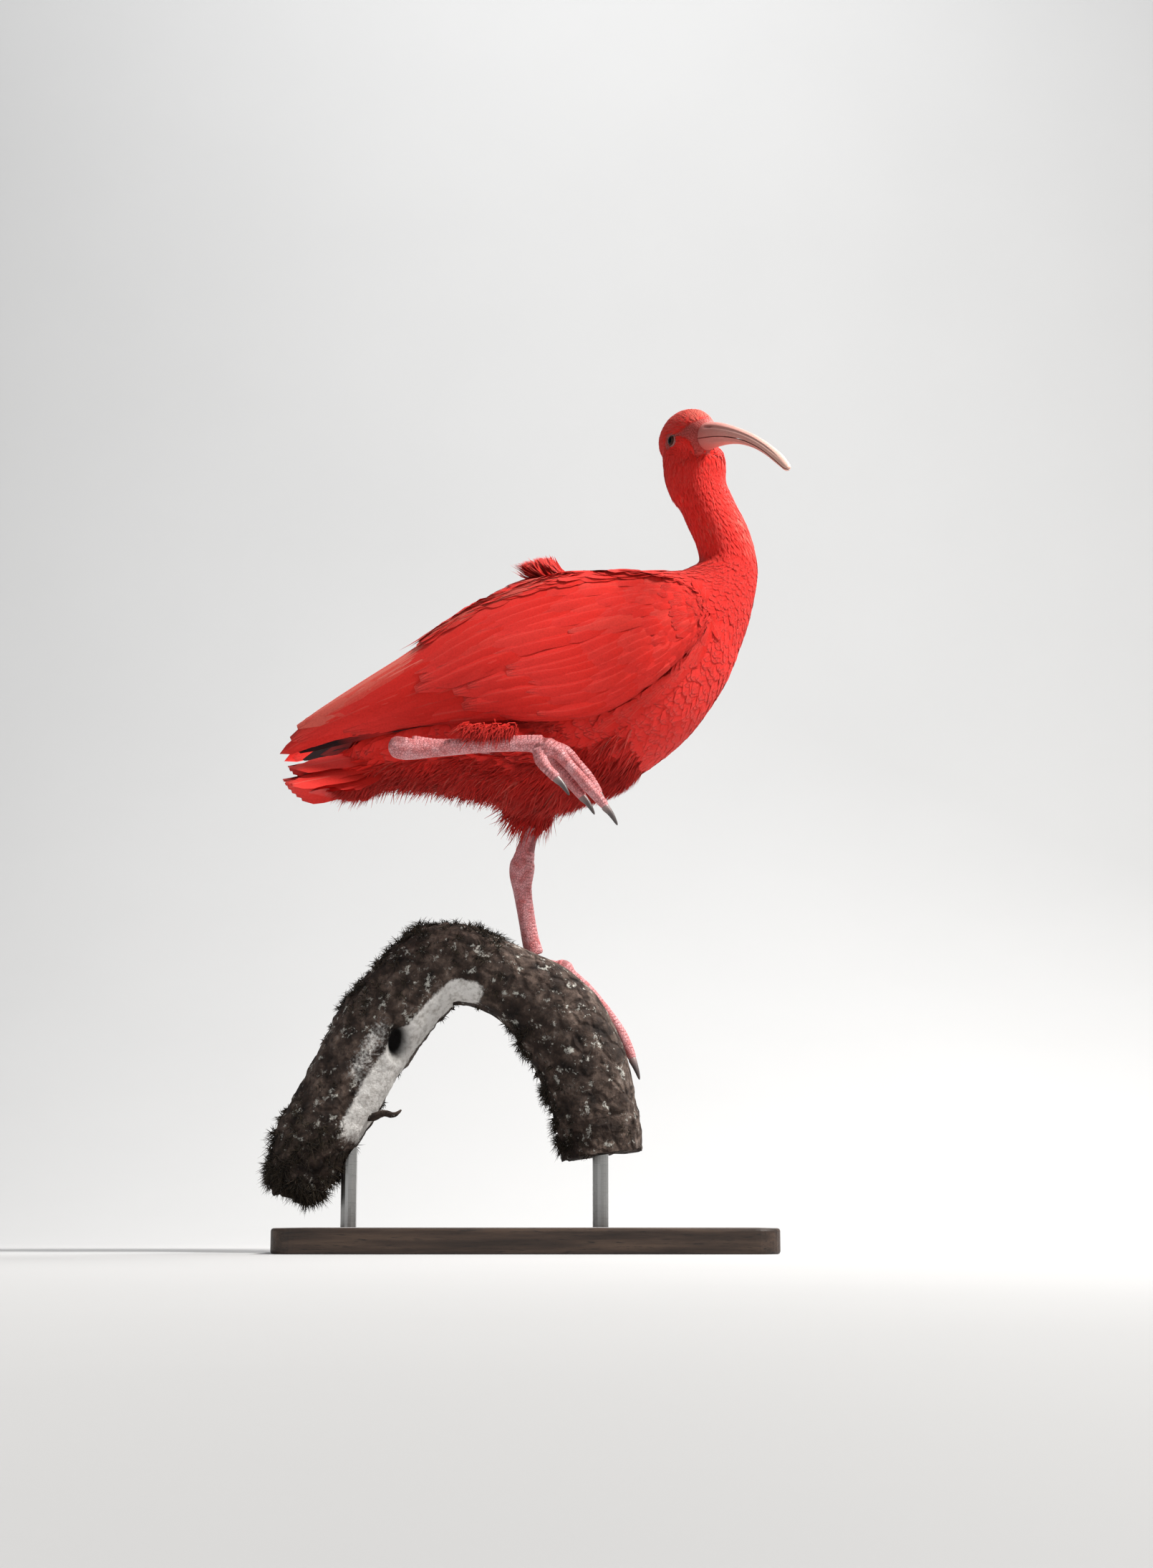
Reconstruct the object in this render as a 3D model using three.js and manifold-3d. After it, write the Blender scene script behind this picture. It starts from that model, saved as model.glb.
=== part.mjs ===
// Scarlet ibis standing on one leg on a broken branch: a life-size still model on a display stand.
// Millimetres. +X is the way its breast faces, +Y its left side, +Z up, and the origin is under
// the middle of the base.
import * as THREE from "three";
import { mergeVertices } from "three/addons/utils/BufferGeometryUtils.js";
import Module from "manifold-3d";

const wasm = await Module();
wasm.setup();

// Driving dimensions
const GAP = 0.3; // left between pieces that touch
const BILL = { length: 108, startPitch: -9, endPitch: -43, mouthHeight: 0.5 };
const HEAD = { at: [105, -8, 524], turn: -63 }; // degrees from straight ahead, towards its right
const EYE = { radius: 4.6, ahead: -1, up: -2, out: 11.4, lid: 0.9 };
const STAND = { length: 300, depth: 190, height: 15, corner: 14, chamfer: 1.6, rod: 5 };
const TOE = { knuckle: 4.6, tip: 3.1, claw: 11 };

const FINISH = {
  plumage: { color: 0xd8261c, roughness: 0.85, metalness: 0 },
  flight: { color: 0xe23a33, roughness: 0.7, metalness: 0 },
  skin: { color: 0xe59a9a, roughness: 0.6, metalness: 0 },
  horn: { color: 0xdd9a86, roughness: 0.45, metalness: 0 },
  claw: { color: 0x5a4a48, roughness: 0.4, metalness: 0 },
  eye: { color: 0x1c0a06, roughness: 0.1, metalness: 0 },
  bark: { color: 0x4a3c34, roughness: 0.95, metalness: 0 },
  stand: { color: 0x2b2320, roughness: 0.5, metalness: 0 },
  rod: { color: 0x9a9a98, roughness: 0.35, metalness: 1 },
};

const point = (x, y, z) => new THREE.Vector3(x, y, z);
const mirrored = ([x, y, z]) => [x, -y, z];
const rad = THREE.MathUtils.degToRad;

// Closed meshes as solids, and back

function toSolid(geometry) {
  const bare = new THREE.BufferGeometry();
  bare.setAttribute("position", geometry.getAttribute("position"));
  bare.setIndex(geometry.getIndex());
  const merged = mergeVertices(bare, 1e-4);
  const vertProperties = merged.getAttribute("position").array;
  const triVerts = new Uint32Array(merged.getIndex().array);
  const made = new wasm.Manifold(new wasm.Mesh({ numProp: 3, vertProperties, triVerts }));
  if (made.volume() > 0) return made;
  triVerts.reverse();
  return new wasm.Manifold(new wasm.Mesh({ numProp: 3, vertProperties, triVerts }));
}

function toGeometry(solid) {
  const { vertProperties, triVerts } = solid.getMesh();
  const geometry = new THREE.BufferGeometry();
  geometry.setAttribute("position", new THREE.BufferAttribute(new Float32Array(vertProperties), 3));
  geometry.setIndex(new THREE.BufferAttribute(new Uint32Array(triVerts), 1));
  geometry.computeVertexNormals();
  return geometry;
}

const united = (solids) => solids.reduce((whole, next) => whole.add(next));

function largest(solid) {
  return solid.decompose().reduce((most, next) => (next.volume() > most.volume() ? next : most));
}

function box(length, depth, height, [x, y, z]) {
  return toSolid(new THREE.BoxGeometry(length, depth, height).translate(x, y, z));
}

// A bent, rounded form: stations on its middle line, each with half its height and half its width
class Form {
  constructor(stations, side = point(0, 1, 0)) {
    this.line = new THREE.CatmullRomCurve3(stations.map(({ at }) => point(...at)));
    this.halves = new THREE.CatmullRomCurve3(
      stations.map(({ tall, wide }) => point(tall, wide ?? tall, 0)),
      false,
      "catmullrom",
      0.5,
    );
    this.last = stations.length - 1;
    this.side = side;
  }

  // The frame of one station: its middle, the way along, to its side and up
  frame(station) {
    const share = THREE.MathUtils.clamp(station / this.last, 0, 1);
    const along = this.line.getTangent(share);
    const side = this.side.clone().addScaledVector(along, -this.side.dot(along)).normalize();
    const up = along.clone().cross(side);
    const { x: tall, y: wide } = this.halves.getPoint(share);
    return { middle: this.line.getPoint(share), along, side, up, tall, wide };
  }

  // A point of the surface, or of one lifted off it by grow; angle 0 is up, 90 degrees its side
  at(station, angle, grow = 0) {
    const { middle, side, up, tall, wide } = this.frame(station);
    return middle
      .addScaledVector(up, Math.cos(angle) * (tall + grow))
      .addScaledVector(side, Math.sin(angle) * (wide + grow));
  }

  // The station that lies this far on along the middle line
  onward(station, distance) {
    const near = this.line.getPoint(station / this.last);
    const step = near.distanceTo(this.line.getPoint((station + 0.01) / this.last)) / 0.01;
    return station + distance / step;
  }

  piece({ from = 0, to = this.last, rows, sides = 12, grow = 0 }) {
    const tube = new THREE.CylinderGeometry(1, 1, 1, sides, rows);
    const vertices = tube.getAttribute("position");
    for (let i = 0; i < vertices.count; i++) {
      const share = 0.5 - vertices.getY(i);
      const station = from + (to - from) * share;
      const across = vertices.getX(i);
      const upward = vertices.getZ(i);
      const onCapMiddle = Math.hypot(across, upward) < 0.5;
      const spot = onCapMiddle
        ? this.frame(station).middle
        : this.at(station, Math.atan2(across, upward), grow);
      if (share < 1e-6) spot.addScaledVector(this.frame(station).along, -grow);
      if (share > 1 - 1e-6) spot.addScaledVector(this.frame(station).along, grow);
      vertices.setXYZ(i, spot.x, spot.y, spot.z);
    }
    return toSolid(tube);
  }
}

// A feather vane: a thin blade, narrow at its root and round at its tip, with both faces split alike.
// place(share, across) gives the point of its middle layer and the way that its outer face looks.
function vane({ rows = 4, width, thick = 0.8, place }) {
  const columns = [-1, 1];
  const corners = [];
  for (const face of [1, -1]) {
    for (let row = 0; row <= rows; row++) {
      const share = row / rows;
      const opening = 0.55 + 0.45 * Math.sin(Math.min(share * 2, 1) * (Math.PI / 2));
      const rounding = Math.sqrt(1 - 0.9 * Math.max(0, (share - 0.6) / 0.4) ** 2);
      for (const column of columns) {
        const { at, out } = place(share, (column * width * opening * rounding) / 2);
        corners.push(at.addScaledVector(out, (face * thick * (1 - 0.35 * share)) / 2));
      }
    }
  }
  const layer = corners.length / 2;
  const corner = (row, column) => row * columns.length + column;
  const index = [];
  for (let row = 0; row < rows; row++) {
    for (let column = 0; column < columns.length - 1; column++) {
      const [a, b] = [corner(row, column), corner(row + 1, column)];
      const [c, d] = [b + 1, a + 1];
      index.push(a, b, d, b, c, d, d + layer, b + layer, a + layer, d + layer, c + layer, b + layer);
    }
  }
  const last = columns.length - 1;
  const rim = [
    ...Array.from({ length: rows }, (_, row) => corner(row, 0)),
    ...Array.from({ length: last }, (_, column) => corner(rows, column)),
    ...Array.from({ length: rows }, (_, row) => corner(rows - row, last)),
    ...Array.from({ length: last }, (_, column) => corner(0, last - column)),
  ];
  rim.forEach((p, i) => {
    const q = rim[(i + 1) % rim.length];
    index.push(q, p, p + layer, q, p + layer, q + layer);
  });
  const blade = new THREE.BufferGeometry().setFromPoints(corners);
  blade.setIndex(index);
  return toSolid(blade);
}

// Torso and neck: one line from the rump up through the breast to the throat
const BODY = new Form([
  { at: [-122, 0, 308], tall: 5, wide: 9 },
  { at: [-110, 0, 311], tall: 14, wide: 18 },
  { at: [-80, 0, 325], tall: 33, wide: 31 },
  { at: [-42, 0, 341], tall: 56, wide: 44 },
  { at: [-4, 0, 352], tall: 74, wide: 52 },
  { at: [34, 0, 364], tall: 75, wide: 54 },
  { at: [70, 0, 380], tall: 65, wide: 52 },
  { at: [100, 0, 400], tall: 47, wide: 44 },
  { at: [120, 0, 420], tall: 30, wide: 32 },
  { at: [129, -1, 440], tall: 21.5, wide: 23 },
  { at: [126, -2, 458], tall: 19.5, wide: 20 },
  { at: [118, -3, 476], tall: 18.5, wide: 18 },
  { at: [111, -4, 493], tall: 18.5, wide: 17 },
  { at: [109, -6, 511], tall: 19.5, wide: 18 },
  { at: [106.5, -9, 517], tall: 12, wide: 15 },
  { at: [105, -10, 522], tall: 5, wide: 8 },
]);
const NECK = { base: 8.2, middle: 10.6, top: 12.2 };
const torsoForm = (grow = 0) =>
  BODY.piece({ to: BODY.onward(NECK.base, grow), rows: 20, sides: 22, grow });
const torso = torsoForm();
const torsoRoom = torsoForm(GAP);

// Head: built looking along +X round its own middle, then turned to its right
const head = new THREE.Group();
head.position.set(...HEAD.at);
head.rotation.z = rad(HEAD.turn);

const SKULL = new Form([
  { at: [-29, 0, -2], tall: 2.5 },
  { at: [-27, 0, -1.5], tall: 9, wide: 8 },
  { at: [-20, 0, 1], tall: 15.5, wide: 13 },
  { at: [-9, 0, 3], tall: 19, wide: 15.5 },
  { at: [4, 0, 2], tall: 18.2, wide: 15 },
  { at: [14, 0, -0.8], tall: 14.4, wide: 12 },
  { at: [20, 0, -2.6], tall: 10.8, wide: 9.4 },
  { at: [24, 0, -3], tall: 9.2, wide: 7.8 },
]);

// The bill's middle line bends evenly from its start pitch to its end pitch
function billStations(scale, drop) {
  const halves = [9.1, 7.8, 6.2, 4.9, 4.1, 3.6, 3.3, 3.1, 2.1];
  const widths = [7.6, 6.4, 5.3, 4.6, 4.1, 3.8, 3.6, 3.4, 2.3];
  const count = halves.length - 1;
  let [ahead, up] = [24 + GAP, -4];
  return halves.map((tall, i) => {
    const pitch = rad(THREE.MathUtils.lerp(BILL.startPitch, BILL.endPitch, i / count));
    if (i > 0) {
      ahead += (Math.cos(pitch) * BILL.length) / count;
      up += (Math.sin(pitch) * BILL.length) / count;
    }
    return { at: [ahead, 0, up - drop * tall], tall: tall * scale.tall, wide: widths[i] * scale.wide };
  });
}
const BILL_WHOLE = new Form(billStations({ tall: 1, wide: 1 }, 0));
const gapeStations = [
  { at: [9, 0, -11.5], tall: BILL.mouthHeight / 2, wide: 16 },
  { at: [17, 0, -8.6], tall: BILL.mouthHeight / 2, wide: 14 },
];
const mouthStations = billStations({ tall: 0, wide: 2.2 }, 0.3).map((station) => ({
  ...station,
  tall: BILL.mouthHeight / 2,
}));
const mouth = new Form([...gapeStations, ...mouthStations]).piece({ rows: 16, sides: 4 });
const bill = BILL_WHOLE.piece({ rows: 16, sides: 12 }).subtract(mouth).decompose();
bill.sort((a, b) => b.boundingBox().max[2] - a.boundingBox().max[2]);

const nostril = (side) =>
  toSolid(new THREE.SphereGeometry(1, 8, 6).scale(4.2, 1.4, 0.8).rotateY(rad(8)).translate(33, side * 5.6, 0));
const billUpper = bill[0].subtract(nostril(1)).subtract(nostril(-1));
const billLower = bill[1];

const eyeAt = (side) => [EYE.ahead, side * EYE.out, EYE.up];
const eyeBall = (side, grow = 0) =>
  toSolid(new THREE.IcosahedronGeometry(EYE.radius + grow, 2).translate(...eyeAt(side)));

// A lid is a ring that stands out from the cheek round the eye
function lid(side) {
  const section = new THREE.Path().absarc(EYE.radius - 0.5, 0, EYE.lid, 0, 2 * Math.PI);
  const ring = new THREE.LatheGeometry(section.getPoints(6), 18);
  return toSolid(ring.translate(0, 2.4 * side, 0).translate(...eyeAt(side)));
}
const skullForm = (grow = 0) => SKULL.piece({ rows: 15, sides: 18, grow });
// The throat, which swells out of the top of the neck, belongs to the head
head.updateMatrixWorld(true);
const throatForm = (grow = 0) =>
  BODY.piece({ from: BODY.onward(NECK.top, GAP - grow), rows: 6, sides: 18, grow }).transform(
    head.matrixWorld.clone().invert().elements,
  );
const faceRoom = skullForm(GAP).add(throatForm(GAP));
const cranium = united([skullForm(), throatForm(), lid(1), lid(-1)])
  .subtract(eyeBall(1, GAP))
  .subtract(eyeBall(-1, GAP))
  .subtract(mouth);

// Neck in two lengths
const neckLower = BODY.piece({ from: BODY.onward(NECK.base, GAP), to: NECK.middle, rows: 6, sides: 20 });
const neckUpper = BODY.piece({ from: BODY.onward(NECK.middle, GAP), to: NECK.top, rows: 4, sides: 20 });

// Branch: from its broken end up to the elbow and down again to the sawn end
const BOUGH = new Form([
  { at: [-150, 0, 36], tall: 9, wide: 11 },
  { at: [-146, 0, 44], tall: 20, wide: 20 },
  { at: [-130, 0, 76], tall: 25, wide: 25 },
  { at: [-110, 0, 112], tall: 27, wide: 26 },
  { at: [-88, 0, 148], tall: 28, wide: 27 },
  { at: [-54, 0, 178], tall: 28, wide: 26 },
  { at: [-15, 0, 169], tall: 24, wide: 25 },
  { at: [16, 0, 147], tall: 29, wide: 27 },
  { at: [35, 0, 112], tall: 29, wide: 27 },
  { at: [43, 0, 82], tall: 26, wide: 26 },
  { at: [46, 0, 60], tall: 25, wide: 25 },
]);
const ELBOW = { x: -58, lean: -14 };
const elbowCut = new THREE.BoxGeometry(2 * GAP, 90, 120).rotateY(rad(ELBOW.lean)).translate(ELBOW.x, 0, 178);
const boughForm = (grow = 0) => BOUGH.piece({ rows: 24, sides: 14, grow });
const [boughOuter, boughInner] = boughForm()
  .subtract(toSolid(elbowCut))
  .decompose()
  .sort((a, b) => a.boundingBox().min[0] - b.boundingBox().min[0]);
const boughRoom = boughForm(GAP);

// Legs: each one line from the thigh to the foot joint
const LEG_LEFT = new Form([
  { at: [0, 22, 312], tall: 20, wide: 20 },
  { at: [1, 20, 292], tall: 19, wide: 17 },
  { at: [2, 19, 280], tall: 13, wide: 12 },
  { at: [1.5, 18, 271], tall: 7.5, wide: 7 },
  { at: [-0.5, 18, 264], tall: 5.4, wide: 4.8 },
  { at: [-3, 17, 254], tall: 6, wide: 5.2 },
  { at: [-5, 16.5, 246], tall: 8.2, wide: 6.8 },
  { at: [-5.6, 16, 238], tall: 7.8, wide: 6.6 },
  { at: [-5, 15, 229], tall: 6, wide: 5 },
  { at: [-2, 14.5, 210], tall: 5.4, wide: 4.6 },
  { at: [0.5, 14.5, 196], tall: 5.6, wide: 4.8 },
  { at: [3, 15.5, 187], tall: 6.2, wide: 5.4 },
]);
const LEG_RIGHT = new Form([
  { at: [34, -14, 322], tall: 20, wide: 16 },
  { at: [10, -34, 317], tall: 16, wide: 13 },
  { at: [-8, -42, 314], tall: 11, wide: 9 },
  { at: [-20, -45, 312.5], tall: 7, wide: 6 },
  { at: [-34, -46, 311.5], tall: 5, wide: 4.6 },
  { at: [-58, -48, 310.5], tall: 4.8, wide: 4.4 },
  { at: [-73, -50, 311], tall: 6.6, wide: 5.2 },
]);
const SHANK_RIGHT = new Form([
  { at: [-86, -57, 309.5], tall: 3.5, wide: 3.5 },
  { at: [-83, -57.5, 309], tall: 6.8, wide: 5.6 },
  { at: [-76, -58.5, 307], tall: 7.2, wide: 5.8 },
  { at: [-64, -59.5, 306.5], tall: 5.6, wide: 4.8 },
  { at: [-30, -60.5, 309], tall: 4.9, wide: 4.4 },
  { at: [0, -61, 310], tall: 5.2, wide: 4.8 },
  { at: [9, -61, 309], tall: 6.4, wide: 5.8 },
]);

// A toe thins from its knuckle to its tip, with a swelling at each joint, and ends in a claw
function toe(path, grow) {
  const stations = path.map((at, i) => {
    const share = i / (path.length - 1);
    const swell = i % 2 ? 1.12 : 0.95;
    return { at, tall: THREE.MathUtils.lerp(TOE.knuckle, TOE.tip, share) * swell };
  });
  const form = new Form(stations, point(0.3, 1, 0.2).normalize());
  const tip = form.frame(form.last);
  const flesh = form.piece({ rows: 2 * (path.length - 1), sides: 6, grow });
  const end = tip.middle.clone().addScaledVector(tip.along, GAP);
  const down = point(0, 0, -1);
  const clawLine = [0, 0.45, 0.8, 1].map((share) =>
    end
      .clone()
      .addScaledVector(tip.along, TOE.claw * share)
      .addScaledVector(down, TOE.claw * 0.35 * share * share),
  );
  const clawHalves = [tip.tall * 0.8, 2, 1.2, 0.4];
  const claw = new Form(clawLine.map((at, i) => ({ at: at.toArray(), tall: clawHalves[i] })));
  return { flesh, claw: claw.piece({ rows: 4, sides: 6 }) };
}

// Toes of the standing foot lie on the branch: stations along it and degrees round it
const onBough = (station, degrees, lift) => BOUGH.at(station, rad(degrees), lift).toArray();
const FOOT_LEFT = [
  [onBough(6.62, 34, 4.5), onBough(6.95, 34, 3.6), onBough(7.3, 28, 3), onBough(7.7, 16, 2.8), onBough(8.1, 6, 2.6)],
  [onBough(6.62, 34, 4.5), onBough(6.9, 46, 3.6), onBough(7.2, 44, 3), onBough(7.5, 34, 2.8), onBough(7.75, 22, 2.6)],
  [onBough(6.6, 34, 4.5), onBough(6.8, 54, 3.6), onBough(7, 68, 3), onBough(7.2, 80, 2.8), onBough(7.35, 90, 2.6)],
  [onBough(6.6, 34, 4.5), onBough(6.4, 40, 3.6), onBough(6.15, 42, 3), onBough(5.95, 44, 2.4)],
];
const FOOT_RIGHT = [
  [[11, -61, 308], [18, -63, 304], [25, -65, 296], [36, -67, 283], [48, -68, 269]],
  [[13, -59, 308], [22, -57, 306], [30, -57, 298], [37, -59, 289], [44, -61, 278]],
  [[10, -57, 306], [17, -53, 297], [26, -52, 287], [34, -53, 278]],
  [[7, -62, 306], [8, -64, 299], [13, -66, 292], [18, -67, 287]],
];

function foot(paths, knuckleAt, grow = 0) {
  const toes = paths.map((path) => toe(path, grow));
  const knuckle = toSolid(new THREE.SphereGeometry(7 + grow, 10, 6).translate(...knuckleAt));
  return { flesh: united([knuckle, ...toes.map(({ flesh }) => flesh)]), claws: toes.map(({ claw }) => claw) };
}

// Tail: a short core under the rump that carries the tail feathers, and coverts below them
const TAIL = new Form([
  { at: [-84, 0, 314], tall: 18, wide: 18 },
  { at: [-104, 0, 307], tall: 14, wide: 22 },
  { at: [-126, 0, 299], tall: 9, wide: 27 },
  { at: [-146, 0, 291], tall: 5, wide: 31 },
  { at: [-158, 0, 287], tall: 1.5, wide: 26 },
]);
const tailRoom = TAIL.piece({ rows: 10, sides: 16, grow: GAP });
const TAIL_CORE = new Form([
  { at: [-86, 0, 313], tall: 14, wide: 17 },
  { at: [-102, 0, 306], tall: 11, wide: 17 },
  { at: [-116, 0, 300], tall: 6, wide: 14 },
  { at: [-122, 0, 298], tall: 2, wide: 9 },
]);
const RECTRICES = { count: 10, width: 15, spread: 26, step: 1.7 };
const UNDERTAIL = { count: 3, width: 18, spread: 13 };

function tailVane(root, tip, width, thick) {
  const along = tip.clone().sub(root).normalize();
  const across = point(-along.y, along.x, 0).normalize();
  const out = across.clone().cross(along).multiplyScalar(-1).normalize();
  const place = (share, sideways) => ({
    at: root.clone().lerp(tip, share).addScaledVector(across, sideways),
    out: out.clone(),
  });
  return vane({ rows: 3, width, thick, place });
}
const rectrices = Array.from({ length: RECTRICES.count }, (_, i) => {
  const half = (RECTRICES.count - 1) / 2;
  const away = (i - half) / half;
  const under = RECTRICES.step * Math.abs(i - half);
  const root = point(-98, 11 * away, 309 - 0.6 * under);
  const tip = point(-159 + 9 * away * away, RECTRICES.spread * away, 299 - under);
  return tailVane(root, tip, RECTRICES.width, 0.8);
});
const undertailCoverts = Array.from({ length: UNDERTAIL.count }, (_, i) => {
  const half = (UNDERTAIL.count - 1) / 2;
  const away = (i - half) / half;
  const under = 1.3 * Math.abs(i - half);
  const root = point(-96, 8 * away, 299 + under);
  return tailVane(root, point(-136 + 4 * away * away, UNDERTAIL.spread * away, 288 + under), UNDERTAIL.width, 1);
});
const tailCore = TAIL_CORE.piece({ rows: 6, sides: 14 });
const tail = largest(united([tailCore, ...rectrices, ...undertailCoverts]).subtract(torsoRoom));

// Wing: the form that a folded wing fills, from its wrist to its tip
const wingForm = (side, stations) =>
  new Form(stations.map(({ at, tall, wide }) => ({ at: side < 0 ? mirrored(at) : at, tall, wide })));
const WING = [
  { at: [110, 30, 402], tall: 5, wide: 5 },
  { at: [98, 34, 398], tall: 17, wide: 9 },
  { at: [70, 37, 389], tall: 33, wide: 12 },
  { at: [30, 38, 376], tall: 45, wide: 13 },
  { at: [-20, 36, 366], tall: 39, wide: 12 },
  { at: [-70, 29, 350], tall: 25, wide: 10 },
  { at: [-112, 21, 335], tall: 16, wide: 8 },
  { at: [-143, 13, 323], tall: 10, wide: 6 },
  { at: [-160, 10, 313], tall: 3, wide: 3 },
];
const WING_CORE = [
  { at: [108, 30, 402], tall: 8, wide: 6 },
  { at: [98, 34, 398], tall: 22, wide: 15 },
  { at: [70, 37, 389], tall: 38, wide: 18 },
  { at: [30, 38, 376], tall: 44, wide: 14 },
  { at: [0, 37, 372], tall: 34, wide: 11 },
  { at: [-18, 35, 368], tall: 10, wide: 5 },
];

// Tiers of vanes, each from its lowest vane to its highest: stations along the wing, and degrees
// above the middle of its outer side
const TIERS = {
  primaries: { count: 3, lift: 0.2, width: 14, root: [[3.6, -40], [3.7, 0]], tip: [[7.2, -50], [8, -8]] },
  secondaries: { count: 5, lift: 2.4, width: 20, root: [[3.3, -62], [3.4, 22]], tip: [[5.3, -64], [7.5, 34]] },
  tertials: { count: 3, lift: 4.6, width: 20, root: [[3.2, 34], [3.3, 62]], tip: [[6.2, 44], [7, 68]] },
  greaterCoverts: { count: 5, lift: 5.4, width: 24, root: [[2.6, -60], [2.7, 58]], tip: [[4.3, -62], [5.1, 44]] },
  medianCoverts: { count: 4, lift: 7.8, width: 27, root: [[2, -54], [2, 58]], tip: [[3.3, -60], [3.8, 58]] },
  lesserCoverts: { count: 4, lift: 9.8, width: 24, root: [[1.3, -48], [1.3, 58]], tip: [[2.4, -56], [2.7, 60]] },
};
const VANE_TILT = 0.1; // how steeply a vane dips under the one above it
const VANE_CLEAR = 1.2; // from the flank to the lowest tier
const CORE_CLEAR = 3.4; // from the flank to the core's outer side
const CORE_INSIDE = 35; // the core's half that is nearer the middle than this is cut to the flank

// Half the torso's width at a height in its side view, nothing outside its outline
function flank(x, z) {
  let best = { distance: Infinity };
  for (let station = 0; station < NECK.base; station += 0.15) {
    const frame = BODY.frame(station);
    const distance = Math.hypot(x - frame.middle.x, z - frame.middle.z);
    if (distance < best.distance) best = { distance, frame };
  }
  const { distance, frame } = best;
  return distance < frame.tall ? frame.wide * Math.sqrt(1 - (distance / frame.tall) ** 2) : 0;
}

function wingVane(form, side, { lift, width, rows }, root, tip) {
  const place = (share, across) => {
    const station = THREE.MathUtils.lerp(root[0], tip[0], share);
    const above = THREE.MathUtils.lerp(root[1], tip[1], share);
    const angle = side * rad(90 + above);
    const { tall, wide } = form.frame(station);
    const bend = Math.max(6, Math.hypot(tall * Math.sin(angle), wide * Math.cos(angle)));
    const raised = share === 0 ? -2 : lift - VANE_TILT * across;
    const turned = angle + (side * across) / bend;
    const at = form.at(station, turned, raised);
    const out = form.at(station, turned, raised + 1).sub(at);
    const clear = flank(at.x, at.z) + VANE_CLEAR + Math.max(0, raised);
    if (side * at.y < clear) at.y = side * clear;
    return { at, out };
  };
  return vane({ rows, width, place });
}

function tierVanes(form, side, tier) {
  return Array.from({ length: tier.count }, (_, i) => {
    const share = i / (tier.count - 1);
    const between = ([low, high]) => low.map((value, j) => THREE.MathUtils.lerp(value, high[j], share));
    return wingVane(form, side, tier, between(tier.root), between(tier.tip));
  });
}

function wing(side, rooms) {
  const form = wingForm(side, WING);
  const core = wingForm(side, WING_CORE)
    .piece({ rows: 8, sides: 14 })
    .warp((corner) => {
      const outward = side * corner[1];
      if (outward < CORE_INSIDE) return;
      corner[1] = side * Math.max(outward, flank(corner[0], corner[2]) + CORE_CLEAR);
    });
  const vanes = Object.values(TIERS).flatMap((tier) => tierVanes(form, side, { rows: 3, ...tier }));
  const middle = box(400, 2 * GAP, 400, [0, 0, 350]);
  return largest([...rooms, middle].reduce((left, room) => left.subtract(room), united([core, ...vanes])));
}

// Stand: a flat base with softened edges and two rods that end under the branch
function standBase() {
  const { length, depth, height, corner, chamfer } = STAND;
  const x = length / 2 - chamfer;
  const y = depth / 2 - chamfer;
  const outline = new THREE.Shape()
    .moveTo(-x + corner, -y)
    .lineTo(x - corner, -y)
    .absarc(x - corner, -y + corner, corner, -Math.PI / 2, 0)
    .absarc(x - corner, y - corner, corner, 0, Math.PI / 2)
    .absarc(-x + corner, y - corner, corner, Math.PI / 2, Math.PI)
    .absarc(-x + corner, -y + corner, corner, Math.PI, 1.5 * Math.PI);
  const plate = new THREE.ExtrudeGeometry(outline, {
    depth: height - 2 * chamfer,
    bevelThickness: chamfer,
    bevelSize: chamfer,
    bevelSegments: 2,
    curveSegments: 4,
  });
  plate.deleteAttribute("normal");
  plate.deleteAttribute("uv");
  return toSolid(mergeVertices(plate).translate(0, 0, chamfer));
}
function standRod(x, reach) {
  const rod = new THREE.CylinderGeometry(STAND.rod, STAND.rod, reach, 16);
  const upright = rod.rotateX(Math.PI / 2).translate(x, 0, STAND.height + GAP + reach / 2);
  return largest(toSolid(upright).subtract(boughRoom));
}

// Scene graph
const ibis = new THREE.Group();

function show(parent, name, solid, finish) {
  const mesh = new THREE.Mesh(toGeometry(solid), new THREE.MeshStandardMaterial(FINISH[finish]));
  mesh.name = name;
  parent.add(mesh);
  return mesh;
}

const bird = new THREE.Group();
show(bird, "torso", torso, "plumage");
show(bird, "neck_lower", neckLower, "plumage");
show(bird, "neck_upper", neckUpper, "plumage");
show(head, "head", largest(cranium), "plumage");
show(head, "bill_upper", largest(billUpper.subtract(faceRoom)), "horn");
show(head, "bill_lower", largest(billLower.subtract(faceRoom)), "horn");
show(head, "eye_left", eyeBall(1), "eye");
show(head, "eye_right", eyeBall(-1), "eye");
show(bird, "tail", tail, "flight");
show(bird, "wing_left", wing(1, [torsoRoom, tailRoom]), "flight");
show(bird, "wing_right", wing(-1, [torsoRoom, tailRoom]), "flight");
bird.add(head);

// A leg is parted below its feathers, at its heel and at its foot
const THIGH_END = 3;
const HEEL = { left: 5.6, right: 6 };
const KNUCKLE = { left: BOUGH.at(6.62, rad(34), 4.5).toArray(), right: [12, -60.5, 307] };
const thigh = (leg) => leg.piece({ to: THIGH_END, rows: 8, sides: 14 });
const shin = (leg, to, grow = 0) =>
  leg.piece({ from: leg.onward(THIGH_END, GAP - grow), to: leg.onward(to, grow), rows: 6, sides: 10, grow });
const tarsusLeft = (grow = 0) =>
  LEG_LEFT.piece({ from: LEG_LEFT.onward(HEEL.left, GAP - grow), rows: 12, sides: 10, grow });
const tarsusRight = (grow = 0) => SHANK_RIGHT.piece({ rows: 12, sides: 10, grow });
const leftRooms = [tarsusLeft(GAP), boughRoom];
const rightRooms = [tarsusRight(GAP), torsoRoom];
const without = (solid, rooms) => largest(rooms.reduce((left, room) => left.subtract(room), solid));

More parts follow.
